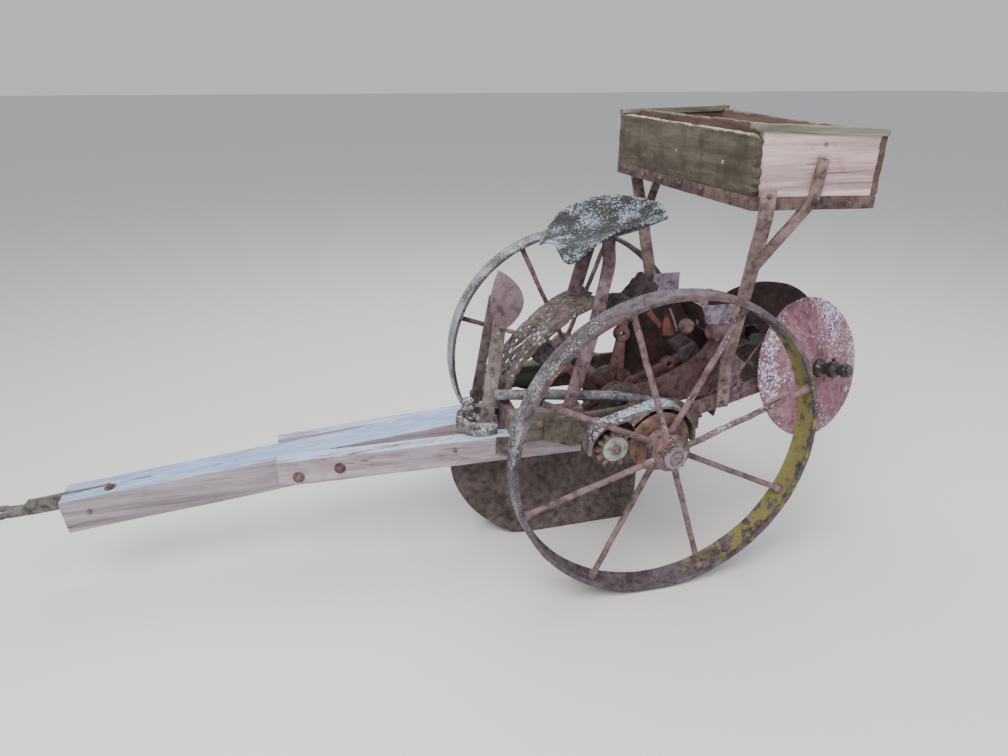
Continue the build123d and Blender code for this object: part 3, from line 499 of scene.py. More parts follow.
def addBolt(bm, place, direction, radius=9, height=6, sides=6, washer=0, roll=12):
    matrix = aimed(place, direction, roll)
    if washer:
        addTo(bm, turned([(0, -0.5), (washer, -0.5), (washer, 1.8), (washer - 0.8, 2.6), (0, 2.6)], 24), matrix)
    base = 2.2 if washer else -0.5
    if not sides:  # a domed rivet
        dome = [(1, base), (0.93, height * 0.4), (0.6, height * 0.85)]
        head = turned([(0, base)] + [(radius * part, up) for part, up in dome] + [(0, height)], 20)
    else:
        head = bmesh.new()
        bmesh.ops.create_cone(
            head, cap_ends=True, segments=sides, radius1=radius / 1000, radius2=radius * 0.97 / 1000,
            depth=height / 1000,
        )
        bevelEdges(head, head.edges[:], radius * 0.09)
        bmesh.ops.translate(head, verts=head.verts, vec=(0, 0, (base + height / 2) / 1000))
        stud, top = radius * 0.48, base + height
        tip = [(0, base), (stud, base), (stud, top + 3), (radius * 0.34, top + 4.5), (0, top + 4.5)]
        addTo(head, turned(tip, 14))
    addTo(bm, head, matrix)


def sliced(bm, pitch):
    for axis, step in enumerate(pitch):
        if not step:
            continue
        low = min(vert.co[axis] for vert in bm.verts) * 1000
        high = max(vert.co[axis] for vert in bm.verts) * 1000
        normal = [1 if place == axis else 0 for place in range(3)]
        for number in range(1, int((high - low) / step) + 1):
            where = [(low + number * step) / 1000 * part for part in normal]
            geometry = bm.verts[:] + bm.edges[:] + bm.faces[:]
            bmesh.ops.bisect_plane(bm, geom=geometry, plane_co=where, plane_no=normal, dist=1e-5)


def softened(node, name, finish, slot, edge, rough, size, pitch=None, change=None, **marks):
    bm = bmesh.new()
    bm.from_mesh(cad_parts[node].data)
    bmesh.ops.remove_doubles(bm, verts=bm.verts, dist=1e-6)
    bmesh.ops.dissolve_limit(bm, angle_limit=math.radians(1.2), verts=bm.verts, edges=bm.edges)
    limit = math.radians(30)
    sharp = [side for side in bm.edges if len(side.link_faces) == 2 and side.calc_face_angle(0) > limit]
    bevelEdges(bm, sharp, edge)
    if pitch:
        sliced(bm, pitch)
    wear(bm, size, rough, len(name))
    if change:
        change(bm)
    return finishPiece(bm, name, finish, slot, node, **marks)


def rodThrough(points, radius):
    curve = bpy.data.curves.new("rod", "CURVE")
    curve.dimensions = "3D"
    curve.bevel_depth = radius / 1000
    curve.bevel_resolution = 3
    curve.use_fill_caps = True
    line = curve.splines.new("NURBS")
    line.points.add(len(points) - 1)
    for point, place in zip(line.points, points):
        point.co = (*spot(*place), 1)
    line.order_u = 3
    line.use_endpoint_u = True
    line.resolution_u = 5
    holder = bpy.data.objects.new("rod", curve)
    bpy.context.scene.collection.objects.link(holder)
    bpy.context.view_layer.update()
    mesh = bpy.data.meshes.new_from_object(holder.evaluated_get(bpy.context.evaluated_depsgraph_get()))
    bpy.data.objects.remove(holder)
    bpy.data.curves.remove(curve)
    part = bmesh.new()
    part.from_mesh(mesh)
    bpy.data.meshes.remove(mesh)
    bmesh.ops.remove_doubles(part, verts=part.verts, dist=1e-6)
    bmesh.ops.recalc_face_normals(part, faces=part.faces)
    return part


def plank(low, high, cuts, rough=0.5, size=30, seed=0, stretch=(1, 1, 1)):
    part = bmesh.new()
    bmesh.ops.create_cube(part, size=1)
    spans = [(top - bottom) / 1000 for bottom, top in zip(low, high)]
    bmesh.ops.scale(part, vec=spans, verts=part.verts)
    bmesh.ops.translate(part, vec=[(bottom + top) / 2000 for bottom, top in zip(low, high)], verts=part.verts)
    for axis, count in enumerate(cuts):
        if count:
            long = spans[axis] * 0.9
            run = [edge for edge in part.edges if abs((edge.verts[0].co - edge.verts[1].co)[axis]) > long]
            bmesh.ops.subdivide_edges(part, edges=run, cuts=count, use_grid_fill=True)
    corners = [vert for vert in part.verts if any(edge.calc_face_angle(0) > 1 for edge in vert.link_edges)]
    smoothed(part, corners, 0.35)
    wear(part, size, rough, seed, stretch)
    return part


def beamAlong(start, end, width, depth, cuts, **marks):
    way = Vector(end) - Vector(start)
    part = plank((0, -width / 2, -depth / 2), (way.length, width / 2, depth / 2), cuts, **marks)
    forward = way.normalized()
    across = Vector((0, 0, 1)).cross(forward).normalized()
    turn = Matrix((forward, across, forward.cross(across))).transposed().to_4x4()
    return moved(part, Matrix.Translation(spot(*start)) @ turn)


def bentFlat(points, wide, thick, across, **marks):
    ways = [Vector(point) for point in points]
    lengths = [0.0]
    for first, second in zip(ways, ways[1:]):
        lengths.append(lengths[-1] + (second - first).length)
    tables = [[(length, way[axis]) for length, way in zip(lengths, ways)] for axis in range(3)]
    cuts = (int(lengths[-1] / 14), 3, 0)
    part = plank((0, -wide / 2, -thick / 2), (lengths[-1], wide / 2, thick / 2), cuts, **marks)
    for vert in part.verts:
        run, side, up = (value * 1000 for value in vert.co)
        ends = [min(max(run + step, 0), lengths[-1]) for step in (-1, 1)]
        before, after = (Vector([easedTable(table, end) for table in tables]) for end in ends)
        way = (after - before).normalized()
        wideWay = (Vector(across) - way * way.dot(Vector(across))).normalized()
        vert.co = spot(*((before + after) / 2 + wideWay * side + way.cross(wideWay) * up))
    bmesh.ops.recalc_face_normals(part, faces=part.faces)
    return part


def cutSheet(points, y, thick, seed):
    part = bmesh.new()
    for x, z in points:
        bmesh.ops.create_vert(part, co=spot(x, y, z))
    bmesh.ops.contextual_create(part, geom=part.verts[:])
    grown = bmesh.ops.extrude_face_region(part, geom=part.faces[:])["geom"]
    corners = [item for item in grown if isinstance(item, bmesh.types.BMVert)]
    bmesh.ops.translate(part, verts=corners, vec=(0, thick / 1000, 0))
    bmesh.ops.recalc_face_normals(part, faces=part.faces)
    bevelEdges(part, part.edges[:], 0.7)
    sliced(part, (9, 0, 9))
    wear(part, 14, 0.8, seed)
    return part


def easedTable(table, value):
    for place in range(len(table) - 1):
        if table[place][0] <= value <= table[place + 1][0]:
            before = table[max(place - 1, 0)][1]
            first, second = table[place][1], table[place + 1][1]
            after = table[min(place + 2, len(table) - 1)][1]
            step = (value - table[place][0]) / (table[place + 1][0] - table[place][0])
            return 0.5 * (
                2 * first + (second - before) * step + (2 * before - 5 * first + 4 * second - after) * step**2
                + (3 * first - before - 3 * second + after) * step**3
            )
    return table[-1][1]


# ---- running wheels
wheelSize = {
    "axle": 406.4, "track": 743, "foot": 24.7, "tip": 401, "hubSpread": 20, "rimSpread": 9, "spokes": 8,
    "leftPhase": 26.4, "rightPhase": 24.6, "steps": 180,
}
tyreHalf = [
    (398.4, 0), (398.4, 10), (397.8, 19), (396, 26), (392.6, 28.8), (391.2, 30.4), (391, 33),
    (392, 34.4), (399.8, 34.8), (402, 34), (404.4, 28), (405.8, 20), (406.3, 10), (406.4, 0),
]
tyreProfile = tyreHalf + [(radius, -across) for radius, across in reversed(tyreHalf)]
spokeProfile = [
    (0, 0), (12.5, 0), (13, 6), (11, 17), (8.8, 24), (8.2, 34), (7.8, 120), (7.6, 240),
    (8, 350), (8.4, 356), (11.4, 360), (12, 364), (12, 374.4),
]
rivetProfile = [(0, -2), (9, -2), (8.6, -0.4), (6, 0.5), (0, 0.8)]
hubProfile = [
    (20.8, -44), (32, -44), (34, -42), (34.2, -33), (43, -31), (46.6, -28), (46.8, -12),
    (43, -9), (34.6, -5), (33.6, 0), (34.6, 5), (43, 9), (46.8, 12), (46.6, 28), (43, 31),
    (34.4, 33), (33, 36), (31, 38), (20.8, 38), (20.8, -44),
]


def tyreRule(side):
    def rule(place, normal):
        out = Vector((place.x, 0, place.z - wheelSize["axle"]))
        radius = out.length
        out.normalize()
        front, back, up = max(0, out.x), max(0, -out.x), max(0, out.z)
        if (place.y * side - wheelSize["track"] / 2) > 32:
            return 0.16 * up**3, 0.2 * back, -0.12 + 0.06 * front
        if radius > 400:
            return -0.05, 0.1 * back * (side > 0), 0.16 * front - 0.045 * (side > 0) + 0.08 * (side < 0)
        return 0.12 * up, (0.36 * back**0.6 if side > 0 else 0.1) - 0.1 * (place.y * side > 384), -0.16 + 0.12 * front

    return rule


def makeWheel(name, side, phase):
    centre = spot(0, side * wheelSize["track"] / 2, wheelSize["axle"])
    outward = (0, side, 0)
    tyre = turned(tyreProfile, wheelSize["steps"])
    wear(tyre, 70, 1.6, side + 2)
    wear(tyre, 17, 0.6, side + 5)
    moved(tyre, aimed(centre, outward))
    for vert in tyre.verts:
        vert.co.z = max(vert.co.z, 0)
    spokes = bmesh.new()
    for number in range(wheelSize["spokes"]):
        across = around(phase + 360 * number / wheelSize["spokes"])
        lean = Vector((0, (1 if number % 2 else -1) * side, 0))
        addTo(tyre, turned(rivetProfile, 18), aimed(centre + across * 0.4061 + lean * 0.009, across))
        foot = centre + (across * wheelSize["foot"] + lean * wheelSize["hubSpread"]) / 1000
        tip = centre + (across * wheelSize["tip"] + lean * wheelSize["rimSpread"]) / 1000
        rod = turned(spokeProfile, 18)
        cutLong(rod, 0.05, 7)
        wear(rod, 40, 1.4, number + side)
        addTo(spokes, rod, aimed(foot, tip - foot, 40 * number))
    finishPiece(tyre, name + "_tyre", "wheelIron", "wheel_iron", name + "_rim", body=name, rule=tyreRule(side))
    finishPiece(
        spokes, name + "_spoke_rods", "spokeIron", "wheel_iron", name + "_spokes", body=name,
        rule=lambda place, normal: (0, 0, 0.05 if place.x < -40 and place.z > 440 else -0.02),
    )
    hub = cast(hubProfile, 44, 16, 1, side + 9, aimed(centre, outward))
    for number in range(4):
        place = centre + around(phase + 22 + 90 * number) * 0.040 + Vector((0, side * 0.0305, 0))
        addBolt(hub, place, outward, 5.2, 4.5, 4, roll=20 * number)
    finishPiece(hub, name + "_hub_casting", "spokeIron", "wheel_iron", name + "_hub", body=name)


makeWheel("wheel_left", 1, wheelSize["leftPhase"])
makeWheel("wheel_right", -1, -wheelSize["rightPhase"])
print("running wheels done")

# ---- axle with its end collars and pins
axleCollars = [(1, 409.9), (-1, 409.9), (-1, 315.1)]  # side and start of each
collarProfile = [
    (19.2, 0.2), (27, 0.2), (29.5, 2), (30, 6), (29, 10), (26, 11.6), (19.2, 11.8), (19.2, 0.2),
]
stubProfile = [(0, 0), (19, 0), (19, 419), (17, 421.5), (6, 421.8), (5, 418.5), (0, 418)]
axleEnds = bmesh.new()
for side, start in axleCollars:
    place = spot(0, side * start, wheelSize["axle"])
    addTo(axleEnds, cast(collarProfile, 32, 12, 2.4, start, aimed(place, (0, side, 0))))
    for turn in (40, 160, 280):
        across = around(turn)
        addBolt(axleEnds, place + across * 0.0285 + Vector((0, side * 0.006, 0)), across, 5.5, 4, 4)
finishPiece(axleEnds, "axle_end_collars", "capIron", "frame_iron", "axle_collars")
bar = bmesh.new()
for side in (1, -1):
    stub = turned(stubProfile, 36)
    cutLong(stub, 0.05, 30)
    wear(stub, 14, 0.3, side)
    addTo(bar, stub, aimed(spot(0, 0, wheelSize["axle"]), (0, side, 0)))
finishPiece(bar, "axle_bar", "frameIron", "frame_iron", "axle")
print("axle done")

# ---- gears: a dished dust plate hides the drive gear's teeth, a pale washer holds the pinion
gearSize = {"face": 327.5, "plateY": 328.6, "pinionX": 118.93, "pinionZ": 402.25}
plateProfile = [
    (35.5, -2.4), (50, -2.4), (54, 0.4), (60, 2.2), (70, 2.8), (77, 2), (80, 1), (81.5, 0.8), (81.8, 1.6),
    (80.6, 3.4), (78, 4.8), (70, 5.2), (60, 4.6), (52, 2.8), (35.5, 3), (35.5, -2.4),
]
shaftProfile = [(0, 138), (15, 138), (15, 327), (15, 327.4), (0, 327.4)]
washerProfile = [
    (0, 0), (31, 0), (33, 0.8), (33, 3.2), (31.4, 4), (24, 4.2), (22.6, 4.9), (20.5, 5), (18.5, 4.2), (0, 4.2),
]
plate = cast(plateProfile, 72, 20, 0.7, 3, aimed(spot(0, gearSize["plateY"], wheelSize["axle"]), (0, 1, 0)))
finishPiece(plate, "drive_dust_plate", "plateIron", "gear_iron", body="wheel_left")
softened("drive_gear", "drive_gear_teeth", "plateIron", "gear_iron", 0.9, 0.5, 12, body="wheel_left")
softened("pinion", "pinion_teeth", "gearIron", "gear_iron", 0.9, 0.5, 12, body="pinion")
shaft = moved(turned(shaftProfile, 28), aimed(spot(gearSize["pinionX"], 0, gearSize["pinionZ"]), (0, 1, 0)))
finishPiece(shaft, "pinion_shaft_bar", "gearIron", "gear_iron", "pinion_shaft", body="pinion")
place = spot(gearSize["pinionX"], gearSize["face"], gearSize["pinionZ"])
washer = cast(washerProfile, 48, 12, 0.7, 1, aimed(place, (0, 1, 0)))
finishPiece(washer, "pinion_washer", "washerIron", "gear_iron", body="pinion")
nut = bmesh.new()
addBolt(nut, place + Vector((0, 0.004, 0)), (0, 1, 0), 13.5, 8, roll=20)
finishPiece(nut, "pinion_bolt", "boltIron", "gear_iron", body="pinion")
softened(
    "gear_guard", "gear_shroud", "shroudIron", "gear_iron", 1.6, 0.45, 18, (14, 12, 14),
    rule=lambda place, normal: (0, 0, 0.05 if normal.z > 0.3 and place.y > 270 else -0.05),
)
print("gears done")


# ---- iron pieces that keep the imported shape, with worn edges
def swollen(bm):
    for vert in bm.verts:
        vert.co += vert.normal * 0.0026


def hung(bm):
    # the angle bars hang a little lower in front, under the posts' feet
    for vert in bm.verts:
        vert.co.z -= 0.014


def footed(bm):
    # the bar leans less than its node: its foot sits further back inside the ring
    low, high = (pick(vert.co.z for vert in bm.verts) for pick in (min, max))
    for vert in bm.verts:
        vert.co.x -= 0.018 * (high - vert.co.z) / (high - low)


def leafed(bm):
    # the leaf's tip bends forward and its front half is the broader one
    low, high = (pick(vert.co.z for vert in bm.verts) for pick in (min, max))
    left, right = (pick(vert.co.x for vert in bm.verts) for pick in (min, max))
    for vert in bm.verts:
        tall = (vert.co.z - low) / (high - low)
        front = (2 * vert.co.x - left - right) / (right - left)
        bulge = 13 * max(front, 0) - 6 * max(-front, 0)
        vert.co.x += (22 * tall**2 + 4 * tall * (1 - tall) * bulge) / 1000
        vert.co.z += 0.010


def racked(bm):
    # the far post stands straighter than the near one
    for vert in bm.verts:
        place = (vert.co - ground) * 1000
        if place.y < 0:
            vert.co.x += 0.042 * share((1012 - place.z) / 612)


def lowered(bm):
    # both braces end a little lower and further forward
    racked(bm)
    for vert in bm.verts:
        above = max((vert.co - ground).z * 1000 - 1000, 0) / 100
        vert.co += Vector((0.014, 0, -0.009)) * above


softPieces = [
    # node, name, finish, slot, edge, roughness, noise size, pitch, change
    ("side_frames", "side_castings", "sideIron", "frame_iron", 1.8, 0.9, 24, (16, 0, 14)),
    ("rear_cross_bar", "rear_cross_flat", "frameIron", "frame_iron", 1.2, 0.7, 30, (0, 20, 0)),
    ("hitch_strap", "draw_strap", "strapIron", "frame_iron", 1.4, 0.9, 40, (14, 0, 0)),
    ("front_cross", "front_casting", "frameIron", "frame_iron", 2, 1.2, 20, (14, 14, 14)),
    ("front_yoke", "lever_yoke", "yokeIron", "frame_iron", 2.4, 1.6, 12, (8, 8, 8)),
    ("depth_lever", "depth_lever_bar", "leverIron", "lever_iron", 1.4, 1.4, 14, (0, 0, 9)),
    ("clutch_rod", "clutch_pipe", "pipeIron", "lever_iron", 0.8, 1.1, 14, (10, 0, 0)),
    ("picker_hub", "picker_drum", "tanIron", "picker_iron", 1.2, 0.5, 14, None),
    ("seed_bowl", "bowl_casting", "bowlIron", "sheet_iron", 1, 0.8, 20, (16, 0, 16)),
    ("seed_throat", "throat_sheet", "lilacIron", "sheet_iron", 0.6, 0.8, 26, (14, 14, 14)),
    ("opener_shoe", "shoe_plates", "shoeIron", "shoe_iron", 1.2, 0.9, 36, (18, 0, 18)),
    ("rear_bars", "rear_angle_bars", "frameIron", "frame_iron", 1, 0.7, 40, (20, 0, 0), hung),
    ("marker_bar", "marker_flat", "shoeIron", "lever_iron", 1.2, 1, 30, (0, 0, 12), footed),
    ("lever_head", "lever_leaf", "headIron", "lever_iron", 1.6, 0.5, 24, (9, 0, 9), leafed),
    ("picker_heads", "picker_cups", "pickerIron", "picker_iron", 0.9, 0.7, 14, None, swollen),
    ("picker_arms", "picker_forks", "forkIron", "picker_iron", 1.6, 0.8, 14, (9, 0, 9), swollen),
    ("hopper_posts", "post_flats", "postIron", "frame_iron", 1.4, 0.9, 40, (0, 0, 14), racked),
    ("hopper_braces", "brace_flats", "postIron", "frame_iron", 1.4, 0.9, 40, (0, 0, 14), lowered),
]
softRules = {
    "side_castings": lambda place, normal: (0, 0.12 if place.y > 0 and place.x > 60 else -0.1, 0),
    "lever_leaf": lambda place, normal: (0, 0, 0.09 if place.x > 352 else -0.05),
}
softMade = {}
for row in softPieces:
    name, slot = row[1], row[3]
    body = "picker_wheel" if slot == "picker_iron" else "frame"
    softMade[name] = softened(*row, body=body, rule=softRules.get(name))
# the bowl's faces other than its outer near cheek, and the throat's forward faces, take the darker copy of the bowl's
# iron: painted shade
reface(softMade["bowl_casting"], "bowlInsideShaded", lambda place, normal: not (normal.y > 0.5 and place.y > 55))
reface(softMade["throat_sheet"], "bowlInsideShaded", lambda place, normal: normal.x > 0.35 and place.y < 76)
print("worn iron pieces done:", len(softPieces))

# ---- hoop over the picker wheel, rusted through low down in front
hoopSagged = [(6, 347.6), (14, 346), (24, 338), (36, 325), (48, 318), (60, 317), (76, 318), (118, 330)]
hoopSize = {
    "half": 69.6, "widen": 12, "lip": 24, "start": 6, "end": 76, "tail": 118, "along": 150, "across": 46,
    "sheet": 3,
}
hoop = bmesh.new()
bmesh.ops.create_grid(hoop, x_segments=hoopSize["along"], y_segments=hoopSize["across"], size=1)
path = 2 * (hoopSize["half"] + hoopSize["lip"])
gone = []
for vert in hoop.verts:
    angle = hoopSize["start"] + (vert.co.x + 1) / 2 * (hoopSize["tail"] - hoopSize["start"])
    walk = vert.co.y * path / 2
    radius, y = easedTable(hoopSagged, angle), walk
    if abs(walk) > hoopSize["half"]:
        radius -= abs(walk) - hoopSize["half"]
        y = math.copysign(hoopSize["half"], walk)
    y += hoopSize["widen"] * max(0, y / hoopSize["half"])
    turn = math.radians(angle)
    ripple = noise.noise(Vector((angle / 6, y / 30, 4))) * 1.6
    radius += ripple
    vert.co = spot(radius * math.cos(turn), y, wheelSize["axle"] + radius * math.sin(turn))
zero = spot(0, 0, wheelSize["axle"])
for face in hoop.faces:
    place = (face.calc_center_median() - zero) * 1000
    angle = math.degrees(math.atan2(place.z, place.x))
    distance = math.hypot(place.x, place.z)
    edge = easedTable(hoopSagged, min(max(angle, hoopSize["start"]), hoopSize["tail"]))
    onCheek = place.y < 1.5 - hoopSize["half"] or place.y > hoopSize["half"] + hoopSize["widen"] - 1.5
    tear = noise.noise(Vector((angle / 5, place.y / 10, 2)))
    tear += 0.5 * noise.noise(Vector((angle / 1.1, place.y / 7, 7)))
    edgeNoise = 3.5 * noise.noise(Vector((place.y / 14, angle / 3, distance / 9)))
    if angle > hoopSize["end"] + edgeNoise:
        gone.append(face)
    elif angle < 46 and not onCheek and tear > 0.04 + 0.01 * angle - 0.1 * (place.y < -20):
        gone.append(face)
    elif onCheek and distance < edge - hoopSize["lip"] + 5 + edgeNoise:
        gone.append(face)
bmesh.ops.delete(hoop, geom=gone, context="FACES")
border = [vert for vert in hoop.verts if vert.is_boundary]
for step in range(3):
    smoothed(hoop, border)
bmesh.ops.recalc_face_normals(hoop, faces=hoop.faces)
if sum(face.normal.dot(face.calc_center_median() - zero) for face in hoop.faces) < 0:
    bmesh.ops.reverse_faces(hoop, faces=hoop.faces)
hoopPiece = finishPiece(
    hoop, "guard_hoop", "guardIron", "sheet_iron", "picker_guard", smooth=50,
    rule=lambda place, normal: (-0.03, 0.05 if place.y < 20 else -0.05, 0.05 if place.y > 20 else -0.08),
)
sheet = hoopPiece.modifiers.new("sheet", "SOLIDIFY")
sheet.thickness = hoopSize["sheet"] / 1000
sheet.offset = -1
print("hoop done")

# ---- covering discs, dished, each with a greasy hub casting
discSize = {"place": (-573, 176, 486), "toe": 13, "lean": 14.5, "radius": 203, "dish": 34, "sheet": 5}
ball = (discSize["radius"] ** 2 + discSize["dish"] ** 2) / (2 * discSize["dish"])
toe, lean = math.radians(discSize["toe"]), math.radians(discSize["lean"])


def dishHeight(radius):
    return math.sqrt(ball**2 - radius**2) - ball


discRadii = [17, 30, 60, 90, 120, 150, 175, 192, 200]
discProfile = [(radius, dishHeight(radius)) for radius in discRadii]
discProfile += [(202.6, dishHeight(202.6) - 1), (202.8, dishHeight(202.8) - 3)]
discProfile += [(radius - 1, dishHeight(radius) - discSize["sheet"]) for radius in reversed(discRadii)] + [(17, 0)]
castProfile = [
    (12.4, -13), (24, -13), (28, -9), (28, -4), (26, 0), (26, 5), (24.5, 10), (20, 14), (16.5, 18), (15.6, 24),
    (15.6, 32), (19, 36), (24, 41), (25.8, 49), (24.4, 57), (19, 62), (15, 66), (15, 74), (16.8, 76), (16.8, 79.5),
    (12.4, 79.8), (12.4, -13),
]
pinProfile = [
    (0, -58), (24, -58), (24, -40), (22, -38), (22, -16), (17, -14), (12, -12), (12, 80.5), (19.5, 81), (20, 84),
    (20, 92), (18.5, 94.5), (13, 95), (12.5, 99), (11, 102), (0, 102),
]


def discRule(side, axis):
    x, y, z = discSize["place"]

    def rule(place, normal):
        high, back = (place.z - z) / discSize["radius"], (x - place.x) / discSize["radius"]
        if normal.dot(axis) < 0:
            return 0, 0.12 if high < 0 else -0.1, 0
        spread = 0.13 * share(0.25 + 0.9 * back + 0.55 * high)
        streak = 0.1 * (back < -0.72) * (abs(high) < 0.5)
        return 0.02 - 0.05 * high, -0.1 + 0.1 * max(0, -high), spread + streak - 0.03

    return rule


pins = bmesh.new()
for side, label in ((1, "left"), (-1, "right")):
    axis = Vector((-math.sin(toe) * math.cos(lean), side * math.cos(toe) * math.cos(lean), math.sin(lean)))
    x, y, z = discSize["place"]
    centre = spot(x, side * y, z)
    stand = aimed(centre, axis)
    dish = turned(discProfile, 96)
    cutLong(dish, 0.02, 1)
    wear(dish, 50, 2, side)
    wear(dish, 11, 0.5, side + 3)
    moved(dish, stand)
    climb = (Vector((0, 0, 1)) - axis * axis.z).normalized()
    along = climb.cross(axis) * side
    for number in range(3):
        angle = math.radians(62 + 120 * number)
        where = centre + (along * math.cos(angle) + climb * math.sin(angle)) * 0.046 + axis * 0.0005
        addBolt(dish, where, axis, 8, 5, 0)
    body = "disc_" + label
    dishPiece = finishPiece(
        dish, "cover_disc_dish_" + label, "discPaint", "disc_paint", "cover_disc_" + label, body=body, smooth=50,
        rule=discRule(side, axis),
    )
    # faces turned away from the disc's outer side take the darker finish: painted shade and some grease
    reface(dishPiece, "discInsideShadeAndGrease", lambda place, normal, axis=axis: normal.dot(axis) < -0.3)
    hub = cast(castProfile, 36, 14, 1.6, side + 4, stand)
    addBolt(hub, stand @ Vector((0, 0.024, 0.049)), stand.to_3x3() @ Vector((0.1, 1, 0.2)), 5.5, 7)
    finishPiece(hub, "cover_disc_hub_" + label, "hubIron", "disc_paint", body=body)
    addTo(pins, cast(pinProfile, 32, 12, 0.7, side, stand))
finishPiece(pins, "disc_pins", "hubIron", "frame_iron", "disc_spindles")
print("discs done")

# ---- timbers
poleSize = {"rear": (345, 0, 348.7), "front": (1462, 0, 249), "width": 94, "depth": 88}
pole = beamAlong(
    poleSize["rear"], poleSize["front"], poleSize["width"], poleSize["depth"], (140, 13, 13), rough=2.2, size=24,
    seed=3, stretch=(0.1, 1, 1),
)
finishPiece(pole, "pole_timber", "poleWood", "pole_wood", "pole")
softened("hounds", "hound_timbers", "houndWood", "pole_wood", 2.4, 1.4, 22, (16, 9, 9))
softened("frame_rails", "rail_timbers", "railWood", "frame_wood", 2, 1.2, 18, (12, 9, 9))
plates = bmesh.new()
for side in (1, -1):
    ends = (314, side * 166, 356), (384, side * 157.5, 360)
    addTo(plates, beamAlong(*ends, 6, 50, (6, 0, 4), rough=0.8, size=14, seed=side))
finishPiece(plates, "hound_plates", "shoeIron", "frame_iron")
lumpProfile = [(0, -37), (13, -37), (17, -24), (14, -12), (16, 0), (19, 10), (15, 20), (17, 27), (10, 33), (0, 34)]
lump = turned(lumpProfile, 28)
cutLong(lump, 0.006, 1)
wear(lump, 15, 5, 3)
moved(lump, aimed(spot(434, 62, 430), (0.15, 0.1, 1)))
finishPiece(lump, "ring_lump", "yokeIron", "frame_iron")
print("timbers done")

# ---- hopper boards
hopperSize = {
    "front": -162, "bottom": 1012, "tilt": 0.4, "length": 316, "half": 364, "depth": 139, "lean": 10,
}
hopperTurn = Matrix.Translation(spot(hopperSize["front"], 0, hopperSize["bottom"])) @ Matrix.Rotation(
    math.radians(hopperSize["tilt"]), 4, "Y"
)


def settled(bm):
    # the old box has racked: its near rear corner hangs and its far end stands higher
    zero = spot(hopperSize["front"], hopperSize["half"], hopperSize["bottom"])
    for vert in bm.verts:
        place = (vert.co - zero) * 1000
        back = share(-place.x / hopperSize["length"])
        far = share(-place.y / (2 * hopperSize["half"]))
        high = share(place.z / hopperSize["depth"], 1.05)
        vert.co.z += ((8 + 7 * back) * far * high - 11 * back * (1 - far) + 8 * (1 - back) * (1 - far) * high) / 1000
        ahead = (12 + 10 * high) * (1 - far) + (14 - 8 * high) * far
        vert.co.x += ((6 - 22 * back) * far * high + ahead * (1 - back) + 7 * back * (1 - far) * high) / 1000
    return bm


hopperBoards = [
    # name, node, low corner, high corner, cuts, finish, ragged top
    ("front_board", "hopper_front_board", (-20, -364, 0), (0, 364, 134), (3, 150, 24), "frontBoardWood", 4),
    # the inner, back and floor boards take the dark inside wood: painted shade in the box
    ("inner_board", "hopper_inner_board", (-66, -344, 14), (-46, 344, 145), (3, 120, 14), "innerWoodShaded", 4),
    ("back_board", "hopper_back_board", (-316, -365, 0), (-299, 365, 137), (3, 120, 16), "innerWoodShaded", 5),
    ("floor_board", "hopper_floor", (-296, -344, 0), (-20, 344, 14), (34, 80, 1), "innerWoodShaded", 0),
]
for name, node, low, high, cuts, finish, ragged in hopperBoards:
    board = plank(low, high, cuts, rough=2, size=20, seed=len(name), stretch=(1, 0.1, 1))
    for vert in board.verts:
        x, y, z = (part * 1000 for part in vert.co)
        if node == "hopper_back_board":
            vert.co.x -= hopperSize["lean"] / 1000 * z / hopperSize["depth"]
        if ragged and z > high[2] - 24:
            bite = noise.noise(Vector((y / 46, 3, len(name)))) + 0.6 * noise.noise(Vector((y / 11, x / 14, 4)))
            vert.co.z -= max(0, bite + 0.2) * ragged / 1000 * (z - high[2] + 24) / 24
        if node == "hopper_front_board":
            vert.co.z -= 0.009 * (y + 364) / 728 * max(z - 60, 0) / 74
        if node == "hopper_front_board" and y > 318 and z > 104:
            broken = max(0, noise.noise(Vector((y / 9, x / 9, 8))) + 0.5)
            vert.co.z -= 0.014 * broken * (y - 318) / 46 * (z - 104) / 30
        if node == "hopper_front_board" and y > 352:
            torn = max(0, noise.noise(Vector((z / 14, 2, 6))) + 0.25) * (y - 352) / 12
            vert.co.y -= torn * 0.016
    top = hopperSize["bottom"] + high[2]
    finishPiece(
        settled(moved(board, hopperTurn)), "hopper_" + name, finish, "hopper_wood", node, smooth=50,
        rule=lambda place, normal, top=top: (0.5 if place.z > top - 12 and normal.z > 0.5 else 0, 0, 0),
    )
ends = bmesh.new()
for side in (1, -1):
    low, high = sorted((side * 344, side * 364))
    board = plank((-300, low, 0), (-20, high, 131), (60, 3, 26), rough=2, size=15, seed=side, stretch=(0.12, 1, 1))
    for vert in board.verts:
        x, y, z = (part * 1000 for part in vert.co)
        vert.co.x -= hopperSize["lean"] / 1000 * z / hopperSize["depth"] * (-20 - x) / 296
    addTo(ends, board, hopperTurn)
knot = Vector((-320, 364, 1120))
endPiece = finishPiece(
    settled(ends), "hopper_ends", "endBoardWood", "hopper_wood", "hopper_end_boards", smooth=50,
    rule=lambda place, normal: (max(0.42 - (place - knot).length / 45, 0), 0, 0),
)
# the end boards' inner faces take the dark inside wood: painted shade in the box
reface(endPiece, "innerWoodShaded", lambda place, normal: normal.y * place.y < 0 and abs(normal.y) > 0.5)


def thickened(bm):
    for vert in bm.verts:
        vert.co.z += 0.007 * (vert.normal.z > 0.3)
    settled(bm)


softened("hopper_caps", "hopper_cap_strips", "capWood", "hopper_wood", 1.4, 1.2, 16, (8, 8, 0), thickened)
softened("hopper_rail", "rail_angles", "railIron", "frame_iron", 0.8, 0.7, 34, (20, 24, 0), settled)
print("hopper boards done")

